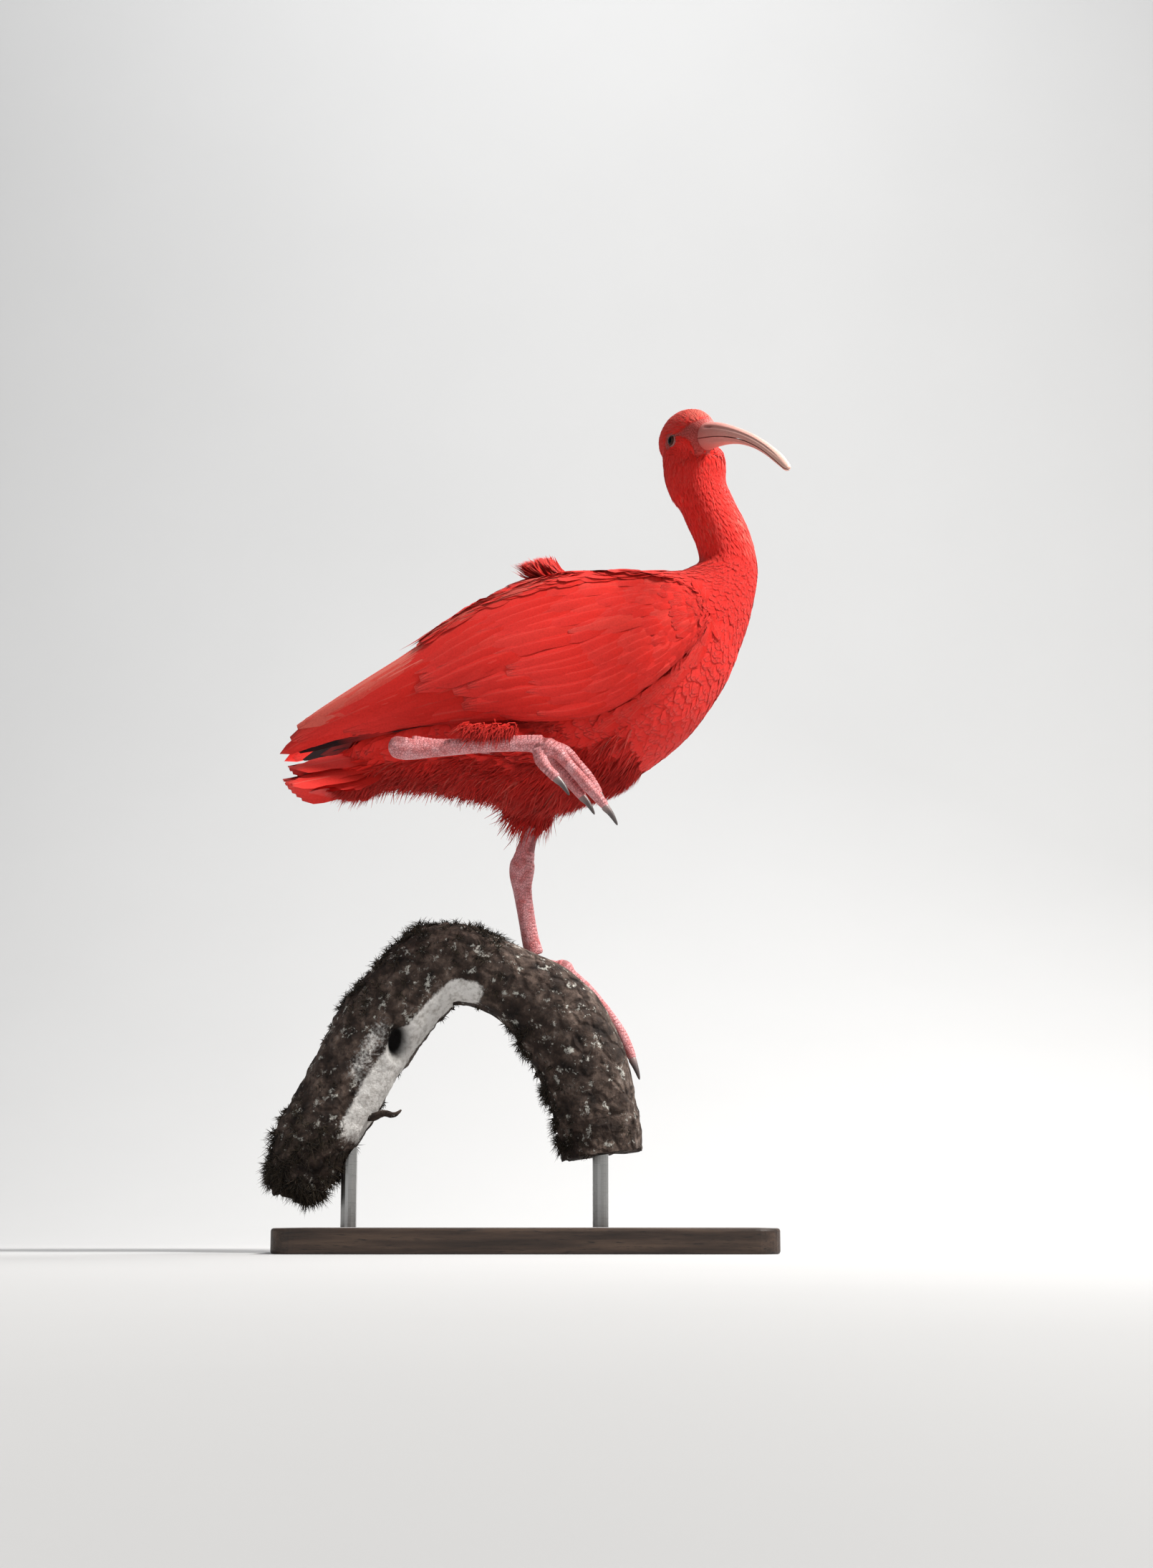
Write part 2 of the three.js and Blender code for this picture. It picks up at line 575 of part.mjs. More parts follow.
function showFoot(side, paths, rooms) {
  const { flesh, claws } = foot(paths, KNUCKLE[side]);
  const fleshRoom = foot(paths, KNUCKLE[side], GAP).flesh;
  show(bird, `foot_${side}`, without(flesh, rooms), "skin");
  claws.forEach((claw, i) => show(bird, `claw_${side}_${i + 1}`, without(claw, [fleshRoom, ...rooms]), "claw"));
}

show(bird, "thigh_left", without(thigh(LEG_LEFT), [torsoRoom]), "plumage");
show(bird, "thigh_right", without(thigh(LEG_RIGHT), [torsoRoom]), "plumage");
show(bird, "shin_left", shin(LEG_LEFT, HEEL.left), "skin");
show(bird, "shin_right", without(shin(LEG_RIGHT, HEEL.right), [torsoRoom]), "skin");
show(bird, "tarsus_left", without(tarsusLeft(), [boughRoom]), "skin");
show(bird, "tarsus_right", without(tarsusRight(), [shin(LEG_RIGHT, HEEL.right, GAP), torsoRoom]), "skin");
showFoot("left", FOOT_LEFT, leftRooms);
showFoot("right", FOOT_RIGHT, rightRooms);

const stand = new THREE.Group();
show(stand, "stand_base", standBase(), "stand");
show(stand, "stand_rod_outer", standRod(-112, 90), "rod");
show(stand, "stand_rod_inner", standRod(45, 60), "rod");

ibis.add(bird, stand);

show(ibis, "perch_outer", boughOuter, "bark");
show(ibis, "perch_inner", boughInner, "bark");

export default ibis;
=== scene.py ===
"""Scarlet ibis: a life-size museum model that stands on one leg on a cut branch, on a plain stand."""

import logging
import math
from dataclasses import dataclass, field
from enum import Enum
from typing import Callable, Sequence

import bmesh
import bpy
import numpy as np
from mathutils import Matrix, Vector, noise
from mathutils.bvhtree import BVHTree
from mathutils.kdtree import KDTree


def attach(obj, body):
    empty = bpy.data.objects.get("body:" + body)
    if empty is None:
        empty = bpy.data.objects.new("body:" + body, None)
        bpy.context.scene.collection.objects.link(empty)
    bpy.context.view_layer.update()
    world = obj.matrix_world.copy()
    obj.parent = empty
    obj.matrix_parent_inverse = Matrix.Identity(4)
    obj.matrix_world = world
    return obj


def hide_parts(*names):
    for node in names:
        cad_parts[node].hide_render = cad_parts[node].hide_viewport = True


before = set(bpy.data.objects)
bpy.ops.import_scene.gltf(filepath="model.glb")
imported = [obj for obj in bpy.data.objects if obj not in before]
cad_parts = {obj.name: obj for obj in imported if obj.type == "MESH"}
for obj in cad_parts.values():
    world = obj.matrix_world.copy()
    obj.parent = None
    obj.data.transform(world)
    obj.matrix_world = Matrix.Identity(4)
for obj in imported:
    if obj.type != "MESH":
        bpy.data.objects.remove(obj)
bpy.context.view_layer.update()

log = logging.getLogger("ibis")
MM = 0.001
SEED = 41

Station = tuple[float, float, float, float, float]
Placing = Callable[[np.ndarray, np.ndarray], np.ndarray]
Path = tuple[np.ndarray, np.ndarray]

# Stations of the bird's forms in millimetres: middle x, y, z, half its height, half its width
BODY: tuple[Station, ...] = (
    (-122, 0, 308, 5, 9), (-110, 0, 311, 14, 18), (-80, 0, 325, 33, 31), (-42, 0, 341, 56, 44),
    (-4, 0, 352, 74, 52), (34, 0, 364, 75, 54), (70, 0, 380, 65, 52), (100, 0, 400, 47, 44),
    (120, 0, 420, 30, 32), (129, -1, 440, 21.5, 23), (126, -2, 458, 19.5, 20),
    (118, -3, 476, 18.5, 18), (111, -4, 493, 18.5, 17), (109, -6, 511, 19.5, 18),
    (106.5, -9, 517, 12, 15), (105, -10, 522, 5, 8),
)
SKULL: tuple[Station, ...] = (
    (-29, 0, -2, 2.5, 2.5), (-27, 0, -1.5, 9, 8), (-20, 0, 1, 15.5, 13), (-9, 0, 3, 19, 15.5),
    (4, 0, 2, 18.2, 15), (14, 0, -0.8, 14.4, 12), (20, 0, -2.6, 10.8, 9.4), (24, 0, -3, 9.2, 7.8),
)
THIGH_LEFT: tuple[Station, ...] = (
    (0, 22, 312, 20, 20), (1, 20, 292, 19, 17), (2, 19, 280, 13, 12), (1.5, 18, 271, 7.5, 7),
    (-0.5, 18, 264, 5.4, 4.8), (-3, 17, 254, 6, 5.2),
)
THIGH_RIGHT: tuple[Station, ...] = (
    (34, -14, 322, 20, 16), (10, -34, 317, 16, 13), (-8, -42, 314, 11, 9), (-20, -45, 312.5, 7, 6),
    (-34, -46, 311.5, 5, 4.6), (-58, -48, 310.5, 4.8, 4.4),
)
NAPE: tuple[Station, ...] = (
    (106, -4, 484, 11.5, 11.5), (102.5, -3, 499, 13.6, 13.6), (101.5, -3, 512, 14.2, 14.2),
    (101.5, -3, 522, 14, 14),
)
WING: tuple[Station, ...] = (
    (110, 30, 402, 5, 5), (98, 34, 398, 17, 9), (70, 37, 389, 33, 12), (30, 38, 376, 45, 13),
    (-20, 36, 366, 39, 12), (-70, 29, 350, 25, 10), (-112, 21, 335, 16, 8), (-143, 13, 323, 10, 6),
    (-160, 10, 313, 3, 3),
)
WING_FLESH: tuple[Station, ...] = (
    (108, 30, 402, 6, 4), (98, 34, 398, 18, 10), (70, 37, 389, 33, 13), (30, 38, 376, 40, 12),
    (0, 37, 372, 32, 9), (-22, 35, 368, 10, 5),
)
TAIL_FLESH: tuple[Station, ...] = (
    (-86, 0, 313, 14, 17), (-102, 0, 306, 11, 17), (-116, 0, 300, 6, 14), (-124, 0, 298, 2, 9),
)
BOUGH: tuple[Station, ...] = (
    (-150, 0, 36, 9, 11), (-146, 0, 44, 20, 20), (-130, 0, 76, 25, 25), (-110, 0, 112, 27, 26),
    (-88, 0, 148, 28, 27), (-54, 0, 178, 28, 26), (-15, 0, 169, 24, 25), (16, 0, 147, 29, 27),
    (35, 0, 112, 29, 27), (43, 0, 82, 26, 26), (46, 0, 60, 25, 25),
)


def unit(vectors: np.ndarray) -> np.ndarray:
    """Vectors of length one along the last axis."""
    return vectors / np.maximum(np.linalg.norm(vectors, axis=-1, keepdims=True), 1e-12)


def smooth(low: float, high: float, value: np.ndarray | float) -> np.ndarray | float:
    """A soft step from 0 at low to 1 at high."""
    share = np.clip((np.asarray(value) - low) / (high - low), 0, 1)
    return share * share * (3 - 2 * share)


class Loft:
    """A bent rounded form: rings on a middle line, each with half its height and half its width."""

    def __init__(self, stations: Sequence[Station], mirror: bool = False, matrix: Matrix | None = None) -> None:
        """Keeps the stations in metres.

        Args:
            stations: middle, half height and half width of each ring, in millimetres.
            mirror: puts the form on the bird's other side.
            matrix: places a form that is built round its own middle.
        """
        table = np.array(stations, float) * MM
        if mirror:
            table[:, 1] *= -1
        self.middles = table[:, :3]
        self.halves = table[:, 3:]
        self.last = len(stations) - 1
        self.matrix = np.array(matrix) if matrix is not None else np.eye(4)

    def _curve(self, points: np.ndarray, station: np.ndarray, even: bool) -> np.ndarray:
        """Points of a Catmull-Rom curve at any stations.

        Args:
            points: the curve's control points.
            station: where on the curve, from 0 to the last control point.
            even: True for the plain kind, False for the centripetal kind.

        Returns:
            One point for each station.
        """
        ends = [2 * points[0] - points[1], *points, 2 * points[-1] - points[-2]]
        padded = np.array(ends)
        station = np.clip(station, 0, self.last - 1e-9)
        cell = np.floor(station).astype(int)
        share = (station - cell)[..., None]
        p0, p1, p2, p3 = (padded[cell + i] for i in range(4))
        if even:
            t1, t2 = 0.5 * (p2 - p0), 0.5 * (p3 - p1)
        else:
            d0, d1, d2 = (
                np.maximum(np.linalg.norm(b - a, axis=-1, keepdims=True), 1e-9) ** 0.5
                for a, b in ((p0, p1), (p1, p2), (p2, p3))
            )
            t1 = ((p1 - p0) / d0 - (p2 - p0) / (d0 + d1) + (p2 - p1) / d1) * d1
            t2 = ((p2 - p1) / d1 - (p3 - p1) / (d1 + d2) + (p3 - p2) / d2) * d1
        square = -3 * p1 + 3 * p2 - 2 * t1 - t2
        cube = 2 * p1 - 2 * p2 + t1 + t2
        return p1 + share * (t1 + share * (square + share * cube))

    def frame(self, station: np.ndarray) -> tuple[np.ndarray, ...]:
        """The frames of some stations.

        Args:
            station: an array of stations.

        Returns:
            Middle, way along, side, up, half height and half width of each.
        """
        station = np.asarray(station, float)
        middle = self._curve(self.middles, station, False)
        step = 0.002
        ahead = self._curve(self.middles, station + step, False)
        along = unit(ahead - self._curve(self.middles, station - step, False))
        side = np.array([0.0, 1.0, 0.0]) - along * along[..., 1:2]
        side = unit(side)
        up = np.cross(along, side)
        halves = self._curve(self.halves, station, True)
        return middle, along, side, up, halves[..., 0], halves[..., 1]

    def at(self, station: np.ndarray, angle: np.ndarray, grow: np.ndarray | float = 0.0) -> np.ndarray:
        """Points of the surface or of one lifted off it; angle 0 is up and a quarter turn its side.

        Args:
            station: where along the form.
            angle: where round it, in radians.
            grow: how far off the surface, in metres.

        Returns:
            The points in the model's frame.
        """
        station, angle, grow = np.broadcast_arrays(station, angle, grow)
        middle, _, side, up, tall, wide = self.frame(station)
        point = middle + up * (np.cos(angle) * (tall + grow))[..., None]
        point = point + side * (np.sin(angle) * (wide + grow))[..., None]
        return point @ self.matrix[:3, :3].T + self.matrix[:3, 3]

    def normal(self, station: np.ndarray, angle: np.ndarray) -> np.ndarray:
        """The way the surface looks at some places."""
        step = 0.01
        on = self.at(station + step, angle) - self.at(station - step, angle)
        round_ = self.at(station, angle + step) - self.at(station, angle - step)
        return unit(np.cross(on, round_))

    def onward(self, station: np.ndarray, angle: np.ndarray) -> np.ndarray:
        """The way along the surface towards the last station."""
        return unit(self.at(station + 0.01, angle) - self.at(station - 0.01, angle))


def grid_mesh(name: str, rows: int, columns: int, place: Placing) -> bpy.types.Object:
    """A closed tube: a grid that is rolled up by a function, with both ends filled.

    Args:
        name: the object's name.
        rows: faces along it.
        columns: faces round it.
        place: gives the points for shares along and round.

    Returns:
        The new object.
    """
    work = bmesh.new()
    bmesh.ops.create_grid(work, x_segments=rows, y_segments=columns, size=0.5)
    flat = np.array([vertex.co[:] for vertex in work.verts])
    points = place(flat[:, 0] + 0.5, flat[:, 1] + 0.5)
    for vertex, point in zip(work.verts, points):
        vertex.co = point
    bmesh.ops.remove_doubles(work, verts=work.verts, dist=1e-6)
    bmesh.ops.holes_fill(work, edges=[edge for edge in work.edges if edge.is_boundary], sides=0)
    bmesh.ops.recalc_face_normals(work, faces=work.faces)
    return to_object(name, work)


def to_object(name: str, work: bmesh.types.BMesh) -> bpy.types.Object:
    """Makes an object of a bmesh and frees it."""
    mesh = bpy.data.meshes.new(name)
    work.to_mesh(mesh)
    work.free()
    made = bpy.data.objects.new(name, mesh)
    bpy.context.scene.collection.objects.link(made)
    for polygon in mesh.polygons:
        polygon.use_smooth = True
    return made


def coordinates(piece: bpy.types.Object) -> np.ndarray:
    """The points of a piece as an array."""
    flat = np.empty(len(piece.data.vertices) * 3)
    piece.data.vertices.foreach_get("co", flat)
    return flat.reshape(-1, 3)


def normals(piece: bpy.types.Object) -> np.ndarray:
    """The point normals of a piece as an array."""
    flat = np.empty(len(piece.data.vertices) * 3)
    piece.data.vertex_normals.foreach_get("vector", flat)
    return flat.reshape(-1, 3)


def move_points(piece: bpy.types.Object, points: np.ndarray) -> None:
    """Puts the points of a piece at new places."""
    piece.data.vertices.foreach_set("co", points.ravel())
    piece.data.update()


def set_attribute(piece: bpy.types.Object, name: str, values: np.ndarray) -> None:
    """Gives each point of a piece a number that its material reads."""
    layer = piece.data.attributes.new(name, "FLOAT", "POINT")
    layer.data.foreach_set("value", np.asarray(values, np.float32).ravel())


def ripple(points: np.ndarray, scale: float, octaves: int = 3) -> np.ndarray:
    """Fractal noise at some points, about -1 to 1, with features of a size given in metres."""
    return np.array([noise.fractal(Vector(point) / scale, 1.0, 2.0, octaves) for point in points])


def applied(piece: bpy.types.Object) -> None:
    """Applies the modifiers of a piece to its mesh."""
    baked = bpy.data.meshes.new_from_object(piece.evaluated_get(bpy.context.evaluated_depsgraph_get()))
    piece.modifiers.clear()
    piece.data = baked
    for polygon in baked.polygons:
        polygon.use_smooth = True


def blended(name: str, pieces: Sequence[bpy.types.Object], voxel: float, rounds: int) -> bpy.types.Object:
    """Joins closed pieces to one smooth surface.

    Args:
        name: the new object's name.
        pieces: closed objects that overlap; they are used up.
        voxel: the size of the new mesh's cells, in metres.
        rounds: how often the surface is smoothed.

    Returns:
        One object with one surface.
    """
    work = bmesh.new()
    for piece in pieces:
        work.from_mesh(piece.data)
        bpy.data.objects.remove(piece)
    joined = to_object(name, work)
    bpy.context.view_layer.update()
    remesh = joined.modifiers.new("shell", "REMESH")
    remesh.mode = "VOXEL"
    remesh.voxel_size = voxel
    relax = joined.modifiers.new("relax", "SMOOTH")
    relax.iterations = rounds
    relax.factor = 0.5
    bpy.context.view_layer.update()
    applied(joined)
    return joined


class Shade:
    """A material under construction: its nodes and the sockets they join."""

    def __init__(self, name: str, roughness: float, sheen: float = 0.0, specular: float = 0.5) -> None:
        """Starts a material with uniform values set on its shader.

        Args:
            name: the material's name.
            roughness: the shader's roughness.
            sheen: the weight of its soft sheen.
            specular: how strongly it mirrors light.
        """
        self.material = bpy.data.materials.new(name)
        self.material.use_nodes = True
        self.nodes = self.material.node_tree.nodes
        self.links = self.material.node_tree.links
        self.shader = self.nodes["Principled BSDF"]
        self.shader.inputs["Roughness"].default_value = roughness
        self.shader.inputs["Specular IOR Level"].default_value = specular
        self.shader.inputs["Sheen Weight"].default_value = sheen
        self.shader.inputs["Sheen Roughness"].default_value = 0.5

    def node(self, kind: str, **values: object) -> bpy.types.Node:
        """A new node with some of its settings."""
        made = self.nodes.new(kind)
        for name, value in values.items():
            setattr(made, name, value)
        return made

    def join(self, source: object, target: object) -> None:
        """Links a socket, or sets it to a plain value."""
        if isinstance(source, bpy.types.NodeSocket):
            self.links.new(source, target)
        else:
            target.default_value = source

    def object_place(self) -> bpy.types.NodeSocket:
        """The place on the piece, in metres."""
        return self.node("ShaderNodeTexCoord").outputs["Object"]

    def attribute(self, name: str) -> bpy.types.NodeSocket:
        """A number that the mesh carries."""
        return self.node("ShaderNodeAttribute", attribute_name=name).outputs["Fac"]

    def math(self, operation: str, first: object, second: object = 0.0, clamp: bool = False) -> bpy.types.NodeSocket:
        """A sum or other step on two numbers."""
        made = self.node("ShaderNodeMath", operation=operation, use_clamp=clamp)
        self.join(first, made.inputs[0])
        self.join(second, made.inputs[1])
        return made.outputs[0]

    def noise(
        self, scale: float, detail: float = 4.0, rough: float = 0.55, place: object = None
    ) -> bpy.types.NodeSocket:
        """Noise from 0 to 1 with a scale in cells per metre."""
        made = self.node("ShaderNodeTexNoise")
        self.join(place or self.object_place(), made.inputs["Vector"])
        made.inputs["Scale"].default_value = scale
        made.inputs["Detail"].default_value = detail
        made.inputs["Roughness"].default_value = rough
        return made.outputs["Fac"]

    def ramp(self, value: object, stops: Sequence[tuple[float, tuple[float, ...]]]) -> bpy.types.NodeSocket:
        """Colours or greys by a number.

        Args:
            value: the socket that is read.
            stops: pairs of a place from 0 to 1 and a linear colour.

        Returns:
            The colour socket.
        """
        made = self.node("ShaderNodeValToRGB")
        bar = made.color_ramp.elements
        while len(bar) < len(stops):
            bar.new(0.5)
        for element, (place, colour) in zip(bar, stops):
            element.position = place
            element.color = (*colour, 1.0) if len(colour) == 3 else colour
        self.join(value, made.inputs["Fac"])
        return made.outputs["Color"]

    def mask(self, value: object, low: float, high: float) -> bpy.types.NodeSocket:
        """A number stretched so that low becomes 0 and high 1."""
        made = self.node("ShaderNodeMapRange", interpolation_type="SMOOTHSTEP")
        self.join(value, made.inputs["Value"])
        made.inputs["From Min"].default_value = low
        made.inputs["From Max"].default_value = high
        return made.outputs["Result"]

    def mix(self, share: object, first: object, second: object, blend: str = "MIX") -> bpy.types.NodeSocket:
        """Two colours blended by a share."""
        made = self.node("ShaderNodeMix", data_type="RGBA", blend_type=blend)
        self.join(share, made.inputs["Factor"])
        for colour, socket in ((first, made.inputs[6]), (second, made.inputs[7])):
            self.join((*colour, 1.0) if isinstance(colour, tuple) and len(colour) == 3 else colour, socket)
        return made.outputs[2]

    def colour(self, source: object) -> None:
        """Sets the base colour."""
        self.join(source, self.shader.inputs["Base Color"])

    def rough(self, source: object) -> None:
        """Sets a varying roughness."""
        self.join(source, self.shader.inputs["Roughness"])

    def bump(self, height: object, distance: float, strength: float = 1.0) -> None:
        """Raises the surface by a height of this many metres."""
        made = self.node("ShaderNodeBump")
        made.inputs["Strength"].default_value = strength
        made.inputs["Distance"].default_value = distance
        self.join(height, made.inputs["Height"])
        self.join(made.outputs["Normal"], self.shader.inputs["Normal"])


def barb_group() -> bpy.types.NodeTree:
    """The fine barbs of a vane: a height and a colour mask, from the mesh's Along and Across values."""
    group = bpy.data.node_groups.new("barbs", "ShaderNodeTree")
    for name, default in (("Count", 60.0), ("Slant", 0.35)):
        group.interface.new_socket(name, in_out="INPUT", socket_type="NodeSocketFloat").default_value = default
    group.interface.new_socket("Height", in_out="OUTPUT", socket_type="NodeSocketFloat")
    group.interface.new_socket("Shaft", in_out="OUTPUT", socket_type="NodeSocketFloat")
    nodes, links = group.nodes, group.links
    given, given_out = nodes.new("NodeGroupInput"), nodes.new("NodeGroupOutput")
    along, across = nodes.new("ShaderNodeAttribute"), nodes.new("ShaderNodeAttribute")
    along.attribute_name, across.attribute_name = "Along", "Across"

    def step(operation: str, first: object, second: object = 0.0) -> bpy.types.NodeSocket:
        """One step of arithmetic."""
        made = nodes.new("ShaderNodeMath")
        made.operation = operation
        for value, socket in ((first, made.inputs[0]), (second, made.inputs[1])):
            if isinstance(value, bpy.types.NodeSocket):
                links.new(value, socket)
            else:
                socket.default_value = value
        return made.outputs[0]

    away = step("ABSOLUTE", across.outputs["Fac"])
    slanted = step("SUBTRACT", along.outputs["Fac"], step("MULTIPLY", away, given.outputs["Slant"]))
    wave = step("SINE", step("MULTIPLY", slanted, step("MULTIPLY", given.outputs["Count"], 6.283)))
    shaft = step("SUBTRACT", 1.0, step("MULTIPLY", away, 9.0))
    shaft = step("MAXIMUM", shaft, 0.0)
    links.new(step("ADD", step("MULTIPLY", wave, 0.5), shaft), given_out.inputs["Height"])
    links.new(shaft, given_out.inputs["Shaft"])
    return group


@dataclass(frozen=True)
class Plumage:
    """The finish of one kind of feather: colours of its root, its middle and its tip."""

    name: str
    root: tuple[float, float, float] = (0.70, 0.024, 0.015)
    middle: tuple[float, float, float] = (0.86, 0.024, 0.016)
    tip: tuple[float, float, float] = (0.93, 0.040, 0.032)
    rim: tuple[float, float, float] = (0.94, 0.065, 0.054)
    dark: tuple[float, float, float] = (0.40, 0.008, 0.005)
    pale: tuple[float, float, float] = (0.86, 0.16, 0.12)
    shaft: tuple[float, float, float] = (0.86, 0.30, 0.24)
    barbs: float = 34.0
    relief: float = 0.00012
    sheen: float = 0.06

    def build(self, barbs: bpy.types.NodeTree) -> bpy.types.Material:
        """The material with barbs, tone of each feather and blackened tips where the mesh says so.

        Args:
            barbs: the shared node group.

        Returns:
            The material.
        """
        shade = Shade(self.name, 0.66, self.sheen, 0.14)
        shade.shader.inputs["Sheen Tint"].default_value = (1.0, 0.45, 0.4, 1.0)
        group = shade.node("ShaderNodeGroup", node_tree=barbs)
        group.inputs["Count"].default_value = self.barbs
        along = shade.attribute("Along")
        tone = shade.attribute("Tone")
        colour = shade.ramp(along, ((0.0, self.root), (0.45, self.middle), (0.9, self.tip), (1.0, self.rim)))
        # Tone darkens or pales each feather: partly its own varied tone, partly painted light and shade laid in where
        # the feather grows.
        colour = shade.mix(shade.mask(tone, 0.5, 0.0), colour, self.dark)
        colour = shade.mix(shade.mask(tone, 0.5, 1.0), colour, self.pale)
        patch = shade.mask(shade.noise(900.0, 5.0), 0.35, 0.75)
        colour = shade.mix(shade.math("MULTIPLY", patch, 0.22), colour, self.dark)
        streak = shade.math("MULTIPLY", group.outputs["Shaft"], shade.attribute("Streak"))
        colour = shade.mix(streak, colour, self.shaft)
        colour = shade.mix(shade.attribute("Black"), colour, (0.012, 0.008, 0.010))
        shade.colour(colour)
        shade.bump(group.outputs["Height"], self.relief)
        return shade.material


class Coat:
    """Feathers of one piece: closed thin blades gathered as arrays and joined to one mesh."""

    def __init__(self, name: str) -> None:
        """Starts an empty coat."""
        self.name = name
        self.points: list[np.ndarray] = []
        self.faces: list[np.ndarray] = []
        self.values: dict[str, list[np.ndarray]] = {key: [] for key in ("Along", "Across", "Tone", "Streak", "Black")}
        self.places: list[np.ndarray] = []
        self.count = 0

    def add(
        self,
        layer: np.ndarray,
        out: np.ndarray,
        thick: np.ndarray | float,
        tone: np.ndarray,
        place: np.ndarray,
        streak: float = 0.0,
        black: np.ndarray | None = None,
    ) -> None:
        """Adds feathers whose middle layers are given as grids.

        Args:
            layer: places of shape feathers x rows x columns x 3.
            out: the way the outer face looks, of the same shape.
            thick: the thickness at the shaft, in metres.
            tone: dark 0 to pale 1 for each feather.
            place: where each feather's root lies on the unwrapped skin, two shares.
            streak: how pale the shaft shows.
            black: how black each feather's tip is.
        """
        feathers, rows, columns, _ = layer.shape
        across = np.linspace(-1, 1, columns)
        along = np.linspace(0, 1, rows)
        body = np.broadcast_to(1 - across ** 2, (rows, columns)) * (1.05 - along[:, None] ** 3)
        rise = np.asarray(thick).reshape(-1, 1, 1, 1) * body[None, :, :, None] * 0.5
        top = layer + out * rise
        low = (layer - out * rise)[:, :, columns - 2:0:-1]
        ring = np.concatenate([top, low], axis=2)
        size = 2 * columns - 2
        ring_across = np.concatenate([across, across[columns - 2:0:-1]])
        self.points.append(ring.reshape(-1, 3))
        step = np.arange(size)
        quad = np.stack([step, (step + 1) % size, (step + 1) % size + size, step + size], axis=1)
        quads = (quad[None] + (np.arange(rows - 1) * size)[:, None, None]).reshape(-1, 4)
        ends = []
        for row in (0, rows - 1):
            for i in range(columns - 1):
                first, second = i, i + 1
                third, fourth = (size - i - 1) % size, (size - i) % size
                corner = np.array([first, second, third, fourth]) + row * size
                ends.append(corner[::-1] if row else corner)
        pattern = np.concatenate([quads[:, ::-1], np.array(ends)[:, ::-1]])
        base = self.count + np.arange(feathers) * rows * size
        self.faces.append((pattern[None] + base[:, None, None]).reshape(-1, 4))
        self.count += feathers * rows * size
        full = (feathers, rows, size)
        blackness = np.zeros(feathers) if black is None else black
        edge = smooth(0.5, 0.72, along)[None, :, None] * blackness[:, None, None]
        per_point = {
            "Along": np.broadcast_to(along[None, :, None], full),
            "Across": np.broadcast_to(ring_across[None, None, :], full),
            "Tone": np.broadcast_to(np.asarray(tone)[:, None, None], full),
            "Streak": np.full(full, streak),
            "Black": np.broadcast_to(edge, full),
        }
        for key, value in per_point.items():
            self.values[key].append(np.asarray(value, np.float32).reshape(-1))
        patch = np.zeros((*full, 2))
        patch[..., 0] = 0.0015 * ring_across
        patch[..., 1] = 0.003 * (along[None, :, None] - 0.5)
        spot = 0.01 + 0.98 * np.clip(place, 0, 1)
        self.places.append((spot[:, None, None, :] + patch).reshape(-1, 2))

    def finish(self, material: bpy.types.Material, slot: str) -> bpy.types.Object:
        """Joins the feathers to one object.

        Args:
            material: its plumage.
            slot: the name of a material slot; not used.

        Returns:
            The coat piece.
        """
        points = np.concatenate(self.points)
        faces = clean_faces(np.concatenate(self.faces))
        mesh = bpy.data.meshes.new(self.name)
        mesh.from_pydata(points.tolist(), [], faces)
        made = bpy.data.objects.new(self.name, mesh)
        bpy.context.scene.collection.objects.link(made)
        for key, chunks in self.values.items():
            set_attribute(made, key, np.concatenate(chunks))
        corners = np.empty(len(mesh.loops), np.int64)
        mesh.loops.foreach_get("vertex_index", corners)
        layer = mesh.uv_layers.new(name="OFBake")
        layer.data.foreach_set("uv", np.concatenate(self.places)[corners].ravel())
        mesh.polygons.foreach_set("use_smooth", np.ones(len(mesh.polygons), bool))
        mesh.set_sharp_from_angle(angle=math.radians(55))
        mesh.materials.append(material)
        mesh.update()
        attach(made, "root")
        log.info("%s: %d faces", self.name, len(mesh.polygons))
        return made


def clean_faces(faces: np.ndarray) -> list[list[int]]:
    """Faces as lists; corners of an end that name one point twice become triangles."""
    result = []
    for face in faces.tolist():
        kept = [corner for i, corner in enumerate(face) if corner != face[i - 1]]
        if len(kept) > 2:
            result.append(kept)
    return result


class Blade(Enum):
    """The outline of a feather from its root to its tip."""

    ROUND = "round"
    LANCE = "lance"
    STRAND = "strand"
    FLIGHT = "flight"

    def widths(self, along: np.ndarray) -> np.ndarray:
        """Half widths as shares of the feather's half width."""
        if self is Blade.ROUND:
            end = np.sqrt(np.clip(1 - ((along - 0.55) / 0.46).clip(0) ** 2.4, 0.02, 1))
            return (0.5 + 0.5 * smooth(0, 0.45, along)) * end
        if self is Blade.LANCE:
            end = np.clip(1 - ((along - 0.3) / 0.72).clip(0) ** 1.5, 0.04, 1)
            return (0.55 + 0.45 * smooth(0, 0.35, along)) * end
        if self is Blade.STRAND:
            return np.clip(1 - along ** 1.3 * 0.94, 0.06, 1)
        end = np.sqrt(np.clip(1 - ((along - 0.72) / 0.29).clip(0) ** 2.2, 0.03, 1))
        return (0.45 + 0.55 * smooth(0, 0.3, along)) * end


@dataclass
class Growth:
    """How feathers grow on a form: their size and how they lie."""

    length: float
    width: float
    gap_along: float
    gap_round: float
    blade: Blade = Blade.ROUND
    rows: int = 5
    lift: float = 1.0
    tip_lift: float = 0.8
    droop: float = 0.0
    thick: float = 0.35
    jitter: float = 0.2
    scatter: float = 0.12
    fray: float = 0.08
    camber: float = 0.06


@dataclass(frozen=True)
class Strewn:
    """Feathers strewn over a part of the wing: how many, their stations, degrees, kind and tone."""

    count: int
    stations: tuple[float, float]
    above: tuple[float, float]
    growth: Growth
    tone: float


